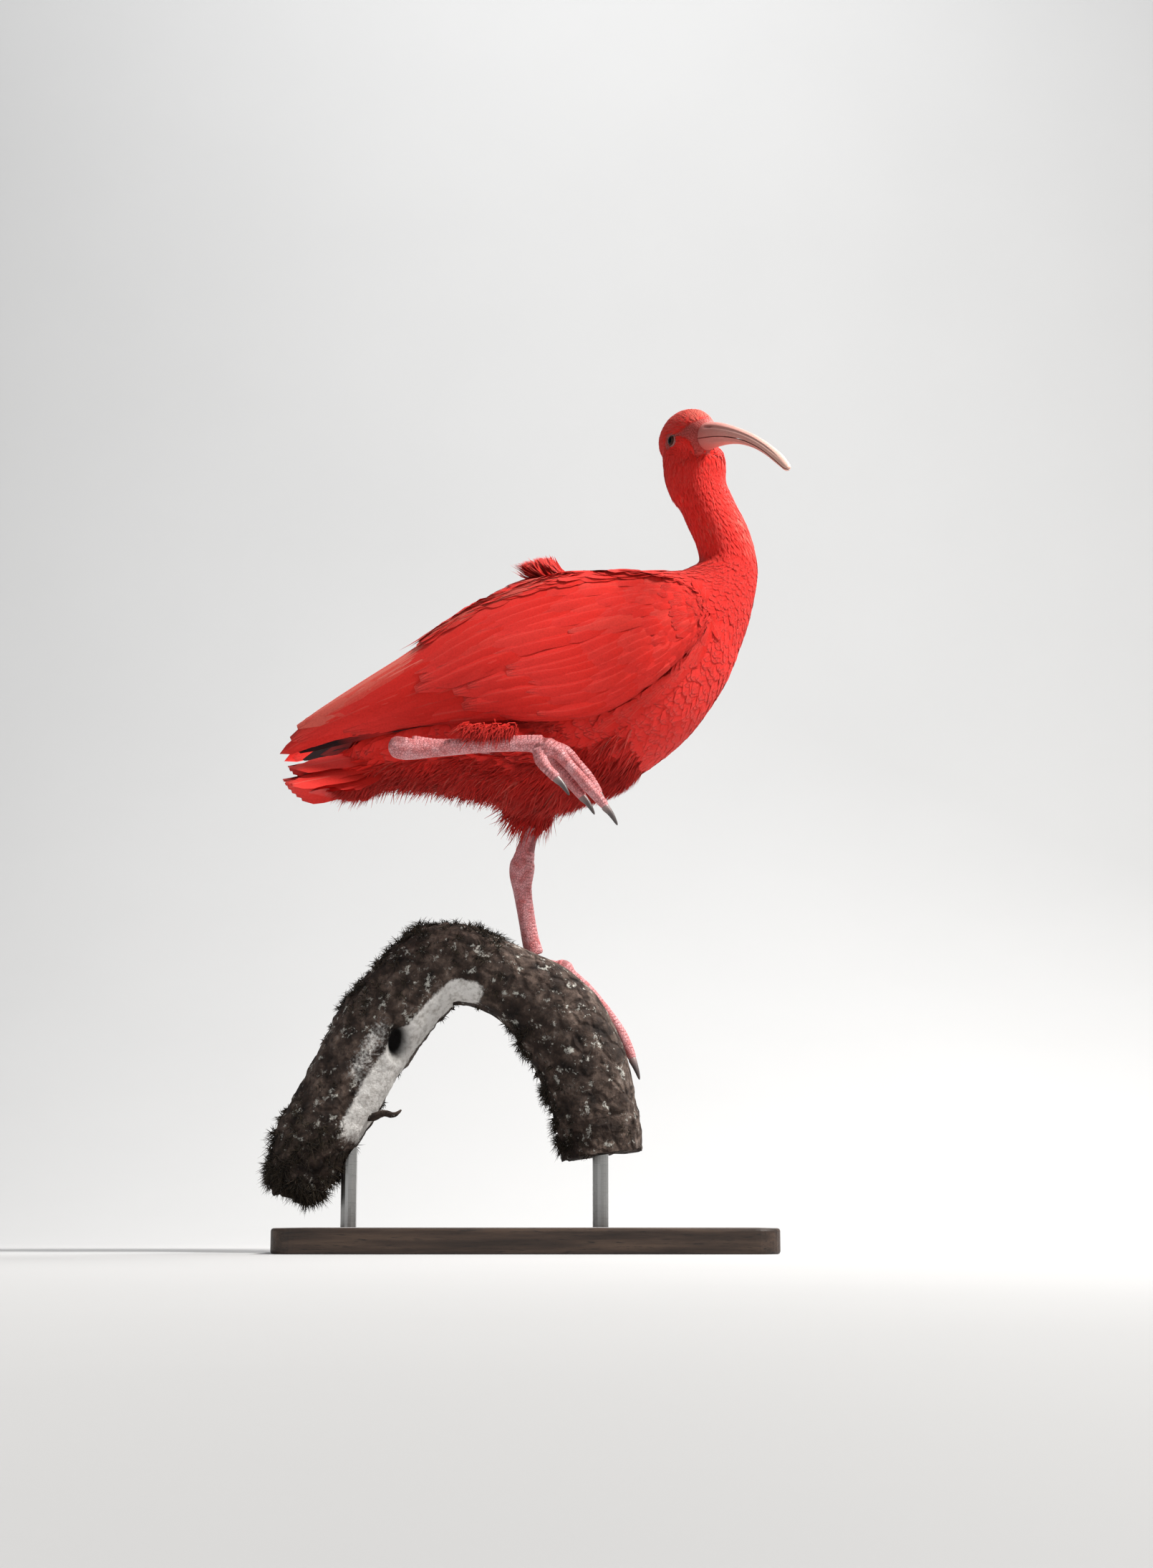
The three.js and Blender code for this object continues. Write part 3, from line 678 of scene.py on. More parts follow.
# The mantle: shoulder, its long plumes, the wing's front edge and the side of the breast
MANTLE: tuple[Strewn, ...] = (
    Strewn(190, (0.7, 4.4), (60, 90), Growth(24, 9.5, 5, 5, Blade.ROUND, 7, 0.9, -0.3, 0, 0.24, 0.2, 0.08, 0.05), 0.55),
    Strewn(34, (2.6, 4.3), (62, 84), Growth(44, 8.0, 5, 5, Blade.LANCE, 9, 1.1, 0.0, 0, 0.3, 0.25, 0.07, 0.05), 0.8),
    Strewn(420, (0.0, 1.1), (-88, 84), Growth(13, 6.5, 4, 4, Blade.ROUND, 6, 0.8, -0.5, 0, 0.2, 0.2, 0.08, 0.05), 0.53),
    Strewn(170, (0.6, 2.8), (-110, -72), Growth(16, 8, 4, 4, Blade.ROUND, 6, 0.8, -0.4, 0, 0.2, 0.2, 0.08, 0.05), 0.50),
)


class Skin:
    """The bird's one skin and a quick way to find the nearest place on it."""

    def __init__(self, piece: bpy.types.Object, others: Sequence[bpy.types.Object] = ()) -> None:
        """Keeps a search tree of the skin.

        Args:
            piece: the skin.
            others: pieces that lie on it and that feathers may lie over.
        """
        self.piece = piece
        points: list[tuple[float, ...]] = []
        polygons: list[tuple[int, ...]] = []
        for part in (piece, *others):
            base = len(points)
            points += map(tuple, coordinates(part))
            polygons += [tuple(base + i for i in polygon.vertices) for polygon in part.data.polygons]
        self.own = len(piece.data.polygons)
        self.tree = BVHTree.FromPolygons(points, polygons)

    def covered(self, points: np.ndarray, out: np.ndarray, reach: float = 0.04) -> np.ndarray:
        """Whether another piece lies over some points of the skin.

        Args:
            points: the points.
            out: the way the skin looks there.
            reach: how far off the search starts, in metres.

        Returns:
            True where something lies over the point.
        """
        found = np.zeros(len(points), bool)
        for i, (point, way) in enumerate(zip(points, out)):
            _, _, index, _ = self.tree.ray_cast(Vector(point + way * reach), Vector(-way), reach)
            found[i] = index is not None and index >= self.own
        return found

    def nearest(self, points: np.ndarray) -> tuple[np.ndarray, np.ndarray]:
        """The nearest places of the skin and the way it looks there.

        Args:
            points: an array of any shape x 3.

        Returns:
            Places and normals of the same shape.
        """
        flat = points.reshape(-1, 3)
        places, ways = np.empty_like(flat), np.empty_like(flat)
        for i, point in enumerate(flat):
            place, way, _, _ = self.tree.find_nearest(Vector(point))
            places[i], ways[i] = place, way
        return places.reshape(points.shape), ways.reshape(points.shape)

    def cover(
        self,
        coat: Coat,
        roots: np.ndarray,
        way: np.ndarray,
        place: np.ndarray,
        growth: Growth,
        tone: np.ndarray,
        length: np.ndarray | float = 1.0,
        free: float = 0.0,
        streak: float = 0.0,
        seed: int = SEED,
    ) -> None:
        """Lays feathers on the skin, each along its way.

        Args:
            coat: the coat that takes them.
            roots: where they start, near the skin.
            way: the way each one points.
            place: their places on the unwrapped skin.
            growth: their size and lie, in millimetres.
            tone: dark 0 to pale 1.
            length: a factor for each one's length.
            free: how far the tips hang free of the skin, 0 to 1.
            streak: how pale the shafts show.
            seed: fixes the random draws.
        """
        draw = np.random.default_rng(seed)
        count = len(roots)
        if count == 0:
            return
        roots, normal = self.nearest(roots)
        way = unit(way - normal * np.sum(way * normal, axis=1, keepdims=True))
        side = np.cross(normal, way)
        turn = draw.normal(0, growth.scatter, count)[:, None]
        way = unit(way + side * turn)
        side = np.cross(normal, way)
        along = np.linspace(0, 1, growth.rows)
        long_ = growth.length * MM * length * draw.uniform(1 - growth.jitter, 1 + growth.jitter, count)
        wide = growth.width * MM * draw.uniform(0.85, 1.15, count)
        line = roots[:, None] + way[:, None] * (along[None, :, None] * long_[:, None, None])
        ground, ground_out = self.nearest(line)
        loose = (free * along ** 1.5)[None, :, None]
        line = ground * (1 - loose) + line * loose
        out = unit(ground_out * (1 - loose) + normal[:, None] * loose)
        height = growth.lift * MM * (along ** 0.6 * 1.25 - 0.25) + growth.tip_lift * MM * along ** 2
        height = height[None] * draw.uniform(0.9, 1.1, count)[:, None]
        line = line + out * height[..., None]
        line[..., 2] -= growth.droop * MM * along ** 2
        bend = draw.normal(0, 0.06, count)[:, None] * long_[:, None] * along ** 2
        line = line + side[:, None] * bend[..., None]
        columns = 3
        across = np.linspace(-1, 1, columns)
        fray = draw.uniform(1 - growth.fray, 1 + growth.fray, (count, growth.rows, columns))
        half = growth.blade.widths(along)[None, :, None] * wide[:, None, None] * 0.5 * across[None, None, :] * fray
        tangent = unit(np.gradient(line, axis=1))
        sideways = unit(np.cross(out, tangent))
        layer = line[:, :, None] + sideways[:, :, None] * half[..., None]
        camber = growth.camber * np.abs(half)
        layer = layer - out[:, :, None] * camber[..., None]
        face = unit(np.cross(tangent, sideways))
        face = face * np.sign(np.sum(face * out, axis=-1, keepdims=True))
        outs = np.broadcast_to(face[:, :, None], layer.shape)
        coat.add(layer, outs, growth.thick * MM, tone, place, streak)

    def tufts(
        self,
        coat: Coat,
        roots: np.ndarray,
        way: np.ndarray,
        place: np.ndarray,
        growth: Growth,
        tone: np.ndarray,
        strands: int = 5,
        fan: float = 0.3,
        free: float = 0.6,
        seed: int = SEED,
    ) -> None:
        """Lays loose down: each tuft is some narrow strands that fan out from one root.

        Args:
            coat: the coat that takes them.
            roots: where the tufts start, near the skin.
            way: the way each tuft points.
            place: their places on the unwrapped skin.
            growth: the size and lie of a strand.
            tone: dark 0 to pale 1.
            strands: how many strands a tuft has.
            fan: how far the outer strands lean sideways.
            free: how far the tips hang free of the skin.
            seed: fixes the random draws.
        """
        draw = np.random.default_rng(seed + 7)
        normal = self.nearest(roots)[1]
        side = unit(np.cross(normal, way))
        for i in range(strands):
            spread = (i / max(1, strands - 1) - 0.5) * 2 * fan
            tilt = draw.normal(0, 0.12, len(roots))[:, None]
            shift = side * draw.normal(0, growth.width * MM, len(roots))[:, None]
            shade = np.clip(tone + draw.normal(0, 0.08, len(roots)), 0, 1)
            self.cover(coat, roots + shift, unit(way + side * (spread + tilt)), place, growth, shade,
                       length=draw.uniform(0.6, 1.1, len(roots)), free=free, seed=seed + 31 * i)


def field_points(
    loft: Loft, low: float, high: float, growth: Growth, draw: np.random.Generator,
    along_gap: Callable[[float], float] | None = None,
) -> tuple[np.ndarray, np.ndarray]:
    """Staggered places all round a form, as feathers grow in rows.

    Args:
        loft: the form.
        low: its first station.
        high: its last station.
        growth: gives the gaps between rows and neighbours.
        draw: the random source.
        along_gap: a factor for both gaps at a station.

    Returns:
        Stations and angles of the places.
    """
    stations, angles = [], []
    station, row = low, 0
    while station < high:
        _, _, _, _, tall, wide = loft.frame(np.array([station]))
        factor = along_gap(station) if along_gap else 1.0
        girth = math.pi * float(tall[0] + wide[0])
        count = max(5, int(girth / (growth.gap_round * MM * factor)))
        angle = (np.arange(count) + 0.5 * (row % 2)) / count * 2 * math.pi
        angles.append(angle + draw.normal(0, 0.22, count) * 2 * math.pi / count)
        ahead = loft.frame(np.array([min(station + 0.02, loft.last)]))[0]
        back = loft.frame(np.array([min(station + 0.02, loft.last) - 0.02]))[0]
        step = growth.gap_along * MM * factor / (np.linalg.norm(ahead - back) / 0.02 + 1e-9)
        stations.append(np.full(count, station) + draw.normal(0, 0.2, count) * step)
        station += step
        row += 1
    return np.clip(np.concatenate(stations), 0, loft.last), np.concatenate(angles) % (2 * math.pi)


def unwrapped(station: np.ndarray, angle: np.ndarray, last: float) -> np.ndarray:
    """A place on an unwrapped form: its share along and its share round."""
    return np.stack([station / last, (angle % (2 * math.pi)) / (2 * math.pi)], axis=-1)


@dataclass
class Flesh:
    """The bird's body under its feathers: one skin for torso, neck, head and thighs."""

    head_at: tuple[float, float, float] = (105, -8, 524)
    head_turn: float = -63.0
    depth_body: float = 3.2
    depth_neck: float = 1.7
    depth_head: float = 0.9
    voxel: float = 1.5
    body: Loft = field(default_factory=lambda: Loft(BODY))

    def head_matrix(self) -> Matrix:
        """Where the head stands and how far it is turned."""
        place = Matrix.Translation(Vector(self.head_at) * MM)
        return place @ Matrix.Rotation(math.radians(self.head_turn), 4, "Z")

    def tube(self, name: str, loft: Loft, depth: float, rows: int = 90, columns: int = 64) -> bpy.types.Object:
        """A closed form that lies inside a loft by a depth in millimetres."""
        def place(along: np.ndarray, round_: np.ndarray) -> np.ndarray:
            """Rolls the grid round the form."""
            return loft.at(along * loft.last, round_ * 2 * math.pi, -depth * MM)
        return grid_mesh(name, rows, columns, place)

    def cloak(self, wings: Sequence["Wing"]) -> Skin:
        """The smooth outside of torso and wings, that mantle feathers lie on."""
        pieces = [self.tube("cloak_trunk", self.body, 1.2, 120, 64)] + [wing.shell() for wing in wings]
        made = blended("cloak", pieces, 2.0 * MM, 12)
        result = Skin(made)
        bpy.data.objects.remove(made)
        return result

    def build(self, finish: bpy.types.Material) -> Skin:
        """Builds the skin, marks its bare face and dresses it.

        Args:
            finish: the skin's material.

        Returns:
            The skin.
        """
        skull = Loft(SKULL, matrix=self.head_matrix())
        neck_start = 8.0
        def trunk(along: np.ndarray, round_: np.ndarray) -> np.ndarray:
            """The torso and neck, with a coat that thins up the neck."""
            station = along * self.body.last
            depth = self.depth_body + (self.depth_neck - self.depth_body) * smooth(neck_start, 11.5, station)
            return self.body.at(station, round_ * 2 * math.pi, -depth * MM)
        pieces = [grid_mesh("trunk", 150, 72, trunk), self.tube("skull", skull, self.depth_head)]
        pieces.append(self.tube("thigh_left_core", Loft(THIGH_LEFT), 1.4, 40, 32))
        pieces.append(self.tube("thigh_right_core", Loft(THIGH_RIGHT), 1.4, 40, 32))
        for mirror in (False, True):
            pieces.append(self.tube("wing_core", Loft(WING_FLESH, mirror), 0.6, 40, 32))
        pieces.append(self.tube("tail_core", Loft(TAIL_FLESH), 0.6, 20, 32))
        pieces.append(self.tube("nape_core", Loft(NAPE), 0.0, 20, 32))
        made = blended("skin", pieces, self.voxel * MM, 9)
        bare = self.bare_face(coordinates(made))
        set_attribute(made, "Bare", bare)
        made.data.materials.append(finish)
        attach(made, "root")
        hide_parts("torso", "neck_lower", "neck_upper", "head", "thigh_left", "thigh_right")
        log.info("skin: %d faces", len(made.data.polygons))
        return Skin(made)

    def from_eyes(self, points: np.ndarray) -> np.ndarray:
        """How far some points are from the nearer eye, in metres."""
        inverse = np.array(self.head_matrix().inverted())
        local = points @ inverse[:3, :3].T + inverse[:3, 3]
        return np.hypot(local[:, 0] + MM, local[:, 2] + 2 * MM) + (np.abs(local[:, 1]) < 6 * MM)

    def bare_face(self, points: np.ndarray) -> np.ndarray:
        """How bare the face is at some points: 1 from the eye to the bill and on the chin."""
        inverse = np.array(self.head_matrix().inverted())
        local = (points @ inverse[:3, :3].T + inverse[:3, 3]) / MM
        ahead, side, up = local[:, 0], np.abs(local[:, 1]), local[:, 2]
        edge = 12.0 + 3.5 * smooth(-2, -7, up) - 4.0 * smooth(-6, -12, up) + 9.0 * smooth(2, 8, up)
        front = smooth(edge - 1.0, edge + 1.0, ahead) * smooth(-15, -12, up)
        ring = 1 - smooth(5.8, 6.8, np.hypot(ahead + 1, up + 2))
        stripe = (1 - smooth(1.5, 2.6, np.abs(up + 1.5 - 0.1 * ahead))) * smooth(2, 4, ahead)
        near = (np.abs(local) < 40).all(axis=1)
        return np.where(near, np.clip(front + (ring + stripe) * (side > 6), 0, 1), 0.0)


@dataclass(frozen=True)
class BirdSkin:
    """The finish of the skin: deep crimson under the feathers, wrinkled rose on the bare face."""

    under: tuple[float, float, float] = (0.55, 0.018, 0.010)
    bare: tuple[float, float, float] = (0.34, 0.034, 0.026)
    lit: tuple[float, float, float] = (0.58, 0.11, 0.095)

    def build(self) -> bpy.types.Material:
        """The material."""
        shade = Shade("bird_skin", 0.6, 0.0, 0.35)
        cell = shade.node("ShaderNodeTexVoronoi", feature="F1")
        shade.join(shade.object_place(), cell.inputs["Vector"])
        cell.inputs["Scale"].default_value = 1100.0
        grain = shade.noise(2400.0, 4.0)
        face = shade.mix(shade.mask(cell.outputs["Distance"], 0.1, 0.7), self.lit, self.bare)
        face = shade.mix(shade.math("MULTIPLY", shade.mask(shade.noise(260.0), 0.35, 0.7), 0.5), face, self.bare)
        shade.colour(shade.mix(shade.attribute("Bare"), self.under, face))
        shade.bump(shade.math("ADD", cell.outputs["Distance"], grain), 0.00025)
        return shade.material


@dataclass
class Plumes:
    """The contour feathers of torso, neck, head and thighs."""

    flesh: Flesh
    skin: Skin
    over: Skin
    cloak: Skin

    def __post_init__(self) -> None:
        """Keeps how far ahead each part of the torso's line lies."""
        self.line = self.flesh.body.frame(np.linspace(0, 9, 100))[0][:, 0]

    def build(self, finish: bpy.types.Material, soft: bpy.types.Material) -> None:
        """Grows each region's feathers and joins them by region.

        Args:
            finish: plumage of the body.
            soft: plumage of neck and head.
        """
        self.torso(finish)
        self.down(finish)
        self.neck(soft)
        self.head(soft)
        self.thighs(finish)

    def torso(self, finish: bpy.types.Material) -> None:
        """Rounded feathers in staggered rows, longer towards the rump; none lie hidden under the wings."""
        draw = np.random.default_rng(SEED)
        coat = Coat("torso_feathers")
        loft = self.flesh.body
        growth = Growth(20, 12.0, 3.9, 4.4, rows=6, lift=1.15, tip_lift=0.15, thick=0.24, jitter=0.12,
                        scatter=0.06, fray=0.04, camber=0.03)
        def gaps(station: float) -> float:
            """Feathers grow closer together towards the neck."""
            return float(1 - 0.55 * smooth(6.5, 9.0, station))
        station, angle = field_points(loft, 0.4, 9.4, growth, draw, gaps)
        order = np.argsort(station)
        station, angle = station[order], angle[order]
        roots = loft.at(station, angle)
        shown = ~self.over.covered(roots, loft.normal(station, angle))
        station, angle, roots = station[shown], angle[shown], roots[shown]
        way = -loft.onward(station, angle)
        belly = np.clip(-np.cos(angle), 0, 1)
        way[:, 2] -= 0.15 * belly
        size = (1 - 0.52 * smooth(6.5, 9.2, station)) * (1 + 0.3 * smooth(3.2, 1.0, station))
        # Painted light and shade: feathers on the top are a little paler, and those of the belly darker towards the
        # vent; the rest varies at random.
        tone = 0.53 + 0.05 * np.cos(angle) + 0.07 * ripple(roots, 0.04) + draw.normal(0, 0.03, len(station))
        tone -= 0.14 * belly * smooth(5.5, 3.0, station)
        place = unwrapped(station, angle, loft.last)
        fine = Growth(19, 7.0, 4, 4, rows=5, lift=1.05, tip_lift=0.12, thick=0.22, jitter=0.15,
                      scatter=0.07, fray=0.05, camber=0.03)
        for part, (use, chosen) in enumerate(((growth, size > 0.78), (fine, size <= 0.78))):
            self.skin.cover(coat, roots[chosen], way[chosen], place[chosen], use, tone[chosen],
                            length=size[chosen], free=0.04, streak=0.05, seed=SEED + part)
        coat.finish(finish, "plumage")
        coat = Coat("mantle_feathers")
        self.mantle(coat)
        self.spine(coat)
        coat.finish(finish, "plumage")

    def mantle(self, coat: Coat) -> None:
        """Feathers of shoulders and breast side that lie over the wings' upper and front edges."""
        draw = np.random.default_rng(SEED + 40)
        for side in (1, -1):
            form = Loft(WING, mirror=side < 0)
            for strewn in MANTLE:
                count = strewn.count
                station = draw.uniform(*strewn.stations, count)
                degrees = draw.uniform(*strewn.above, count)
                order = np.argsort(-station)
                station, degrees = station[order], degrees[order]
                angle = side * np.radians(90 + degrees)
                roots = form.at(station, angle, 4 * MM)
                way = form.onward(station, angle)
                near = np.clip(np.argmin(np.abs(self.line[None] - roots[:, None, 0]), axis=1) / 99 * 9, 0, 9)
                place = unwrapped(near, angle, self.flesh.body.last)
                tone = strewn.tone + draw.normal(0, 0.03, count)
                self.cloak.cover(coat, roots, way, place, strewn.growth, tone,
                                 free=0.05, streak=0.12, seed=SEED + 41 + side)

    def spine(self, coat: Coat) -> None:
        """Feathers along the middle of the back, over the gap between the wings."""
        draw = np.random.default_rng(SEED + 70)
        loft = self.flesh.body
        count = 300
        station = np.sort(draw.uniform(4.9, 7.8, count))
        angle = np.clip(draw.normal(0, 0.34, count), -0.7, 0.7) % (2 * math.pi)
        roots = loft.at(station, angle, 4 * MM)
        way = -loft.onward(station, angle)
        growth = Growth(21, 10.5, 4, 4, Blade.ROUND, 6, 0.6, -0.5, 0, 0.2, 0.2, 0.08, 0.05, 0.04)
        self.cloak.cover(coat, roots, way, unwrapped(station, angle, loft.last), growth,
                         0.56 + draw.normal(0, 0.03, count), free=0.03, streak=0.05, seed=SEED + 71)

    def down(self, finish: bpy.types.Material) -> None:
        """Loose plumes of belly and vent, the tuft on the back and the tuft over the raised shank."""
        draw = np.random.default_rng(SEED + 1)
        loft = self.flesh.body
        count = 1300
        station = draw.uniform(0.8, 5.4, count)
        angle = math.pi + np.clip(draw.normal(0, 0.5, count), -0.85, 0.85)
        roots = loft.at(station, angle)
        way = -loft.onward(station, angle)
        way[:, 2] -= 0.55
        growth = Growth(19, 1.5, 4, 4, Blade.STRAND, 5, 2.4, 1.8, 2.5, 0.5, 0.35)
        tone = 0.42 + draw.normal(0, 0.12, count)
        place = unwrapped(station, angle, loft.last)
        for name, part in (("belly_down_left", angle < math.pi), ("belly_down_right", angle >= math.pi)):
            coat = Coat(name)
            self.skin.tufts(coat, roots[part], way[part], place[part], growth, tone[part], 5, 0.35, 0.5, SEED + 2)
            coat.finish(finish, "plumage")
        coat = Coat("vent_down")
        count = 560
        station = draw.uniform(0.9, 4.6, count)
        angle = math.pi + np.clip(draw.normal(0, 0.4, count), -0.6, 0.6)
        roots = loft.at(station, angle)
        way = -loft.onward(station, angle)
        way[:, 2] -= 1.5
        growth = Growth(23, 1.7, 4, 4, Blade.STRAND, 6, 2.6, 2.0, 4.0, 0.45, 0.3)
        self.skin.tufts(coat, roots, way, unwrapped(station, angle, loft.last), growth,
                        0.58 + draw.normal(0, 0.12, count), 5, 0.4, 0.85, SEED + 12)
        coat.finish(finish, "plumage")
        coat = Coat("back_tuft")
        count = 110
        station = draw.uniform(4.95, 5.4, count)
        angle = (draw.normal(0, 0.1, count) - 0.2) % (2 * math.pi)
        roots = loft.at(station, angle, 4 * MM)
        way = -loft.onward(station, angle)
        way[:, 2] += 1.3
        growth = Growth(14, 2.6, 4, 4, Blade.LANCE, 5, 3.0, 7.5, 0, 0.4, 0.3)
        self.cloak.tufts(coat, roots, way, unwrapped(station, angle, loft.last), growth,
                         0.6 + draw.normal(0, 0.06, count), 6, 0.3, 0.9, SEED + 3)
        coat.finish(finish, "plumage")
        coat = Coat("flank_tuft")
        self.fringe(coat)
        coat.finish(finish, "plumage")

    def fringe(self, coat: Coat) -> None:
        """The red tuft of the flank that hangs over the raised shank."""
        draw = np.random.default_rng(SEED + 13)
        count = 300
        along = np.linspace(0, 1, 6)
        ahead = draw.uniform(-38, -6, count)
        fall = draw.uniform(0.4, 1.15, count) * (1.1 - 0.5 * np.abs(ahead + 22) / 18)
        line = np.zeros((count, 6, 3))
        line[..., 0] = ahead[:, None] - 8 * along * draw.uniform(-0.3, 1.8, count)[:, None]
        line[..., 1] = -52 - 13.5 * smooth(0, 0.55, along) - draw.uniform(0, 2.4, count)[:, None]
        line[..., 2] = 321 - 1.5 * along - 12.0 * fall[:, None] * along ** 1.6 + draw.normal(0, 1.8, count)[:, None]
        across = np.linspace(-1, 1, 3)
        tangent = unit(np.gradient(line, axis=1))
        side = unit(np.cross(np.array([0.0, -1.0, 0.35]), tangent))
        half = Blade.STRAND.widths(along)[None, :, None] * 0.55 * across[None, None, :]
        layer = line[:, :, None] + side[:, :, None] * half[..., None]
        outs = np.broadcast_to(unit(np.cross(tangent, side))[:, :, None], layer.shape)
        outs = outs * np.sign(-outs[..., 1:2])
        place = np.stack([0.3 + ahead / 400, np.full(count, 0.6)], axis=1)
        coat.add(layer * MM, outs, 0.4 * MM, 0.5 + draw.normal(0, 0.1, count), place)

    def neck(self, finish: bpy.types.Material) -> None:
        """Short soft feathers that lie down the neck like velvet."""
        draw = np.random.default_rng(SEED + 4)
        coat = Coat("neck_feathers")
        loft = self.flesh.body
        growth = Growth(8.0, 2.5, 1.75, 1.8, Blade.LANCE, 4, 0.75, 0.2, 0, 0.22, 0.2, 0.12, 0.06, 0.04)
        station, angle = field_points(loft, 8.3, 12.7, growth, draw)
        roots = loft.at(station, angle)
        way = -loft.onward(station, angle)
        tone = 0.53 + 0.10 * ripple(roots, 0.03) + draw.normal(0, 0.07, len(station))
        # Partly painted light: the front of the lower neck, which faces the key light, is made paler; the pale flecks
        # in it stand for faded feather tips.
        front = smooth(0.2, 0.9, -np.cos(angle)) * smooth(8.2, 8.9, station) * (1 - smooth(10.3, 11.6, station))
        tone += front * (0.06 + 0.5 * np.maximum(0, ripple(roots, 0.0055, 2)))
        size = 1.25 - 0.4 * smooth(9, 12.5, station)
        self.skin.cover(coat, roots, way, unwrapped(station, angle, loft.last), growth, tone,
                        length=size, free=0.04, seed=SEED + 5)
        self.collar(coat)
        coat.finish(finish, "plumage")

    def collar(self, coat: Coat) -> None:
        """Small feathers where head and neck meet, so that neither ends in an edge."""
        draw = np.random.default_rng(SEED + 50)
        points = coordinates(self.skin.piece)
        low, high = 0.490, 0.521
        near = (points[:, 2] > low) & (points[:, 2] < high) & (self.flesh.bare_face(points) < 0.1)
        near &= self.flesh.from_eyes(points) > 7 * MM
        count = 2000
        roots = points[draw.choice(np.flatnonzero(near), count)] + draw.normal(0, 0.5 * MM, (count, 3))
        way = np.broadcast_to(np.array([0.0, 0.0, -1.0]), roots.shape)
        station = 11 + 2 * (roots[:, 2] - 0.476) / 0.035
        angle = np.arctan2(roots[:, 1] + 0.005, 0.107 - roots[:, 0]) % (2 * math.pi)
        growth = Growth(6.6, 2.1, 2, 2, Blade.LANCE, 4, 0.75, 0.15, 0, 0.22, 0.2, 0.12, 0.06, 0.04)
        self.skin.cover(coat, roots, way, unwrapped(station, angle, self.flesh.body.last), growth,
                        0.53 + draw.normal(0, 0.07, count), free=0.03, seed=SEED + 51)

    def head(self, finish: bpy.types.Material) -> None:
        """Very short feathers that run back from the bill; the face stays bare."""
        draw = np.random.default_rng(SEED + 6)
        coat = Coat("head_feathers")
        loft = Loft(SKULL, matrix=self.flesh.head_matrix())
        growth = Growth(5.0, 1.5, 1.2, 1.25, Blade.LANCE, 4, 0.5, 0.15, 0, 0.18, 0.2, 0.14, 0.06, 0.04)
        station, angle = field_points(loft, 0.15, 6.9, growth, draw)
        roots = loft.at(station, angle)
        bare = self.flesh.bare_face(roots)
        chosen = draw.uniform(0, 1, len(bare)) > bare * 1.6 - 0.2
        station, angle, roots = station[chosen], angle[chosen], roots[chosen]
        way = -loft.onward(station, angle)
        back = smooth(3.0, 0.6, station)[:, None]
        way = unit(way * (1 - back) + np.array([0.0, 0.0, -1.0]) * back)
        # Painted light: the crown and forehead are made paler and the throat darker, as the top of the head is lit;
        # each feather also varies at random.
        tone = 0.55 + 0.20 * np.cos(angle) + draw.normal(0, 0.08, len(station))
        tone += 0.30 * smooth(0.5, 1.0, np.cos(angle)) * smooth(3.4, 5.4, station)
        size = 1.1 - 0.45 * smooth(4.2, 6.4, station)
        self.skin.cover(coat, roots, way, unwrapped(station, angle, loft.last), growth, tone,
                        length=size, free=0.05, seed=SEED + 8)
        coat.finish(finish, "plumage")

    def thighs(self, finish: bpy.types.Material) -> None:
        """Feathers that run down the legs and end above the bare shins."""
        draw = np.random.default_rng(SEED + 9)
        coat = Coat("thigh_feathers")
        for stations, shift in ((THIGH_LEFT, 0.0), (THIGH_RIGHT, 0.5)):
            loft = Loft(stations)
            growth = Growth(13, 3.2, 3.0, 2.9, Blade.LANCE, 5, 1.2, 0.9, 0, 0.35, 0.3, 0.15)
            station, angle = field_points(loft, 0.6, 2.95, growth, draw)
            roots = loft.at(station, angle)
            way = loft.onward(station, angle)
            way[:, 2] -= 0.2
            tone = 0.42 + draw.normal(0, 0.12, len(station))
            place = unwrapped(station, angle, loft.last) * np.array([0.5, 1.0]) + np.array([shift, 0.0])
            size = 1.15 - 0.45 * smooth(2.0, 2.95, station)
            self.skin.cover(coat, roots, way, place, growth, tone, length=size, free=0.5, seed=SEED + 10)
            growth = Growth(12, 1.1, 3, 3, Blade.STRAND, 4, 1.0, 0.8, 0.6, 0.35, 0.35)
            self.skin.tufts(coat, roots[::2], way[::2], place[::2], growth, tone[::2], 3, 0.3, 0.6, SEED + 11)
        coat.finish(finish, "plumage")


@dataclass(frozen=True)
class Tier:
    """One tier of wing feathers from its lowest feather to its highest.

    Roots and tips are a station along the wing and degrees above the middle of its outer side.
    """

    count: int
    lift: float
    width: float
    root: tuple[tuple[float, float], tuple[float, float]]
    tip: tuple[tuple[float, float], tuple[float, float]]
    blade: Blade = Blade.FLIGHT
    streak: float = 0.25
    tone: tuple[float, float] = (0.42, 0.55)
    black: float = 0.0
    rows: int = 9
    fray: float = 0.06


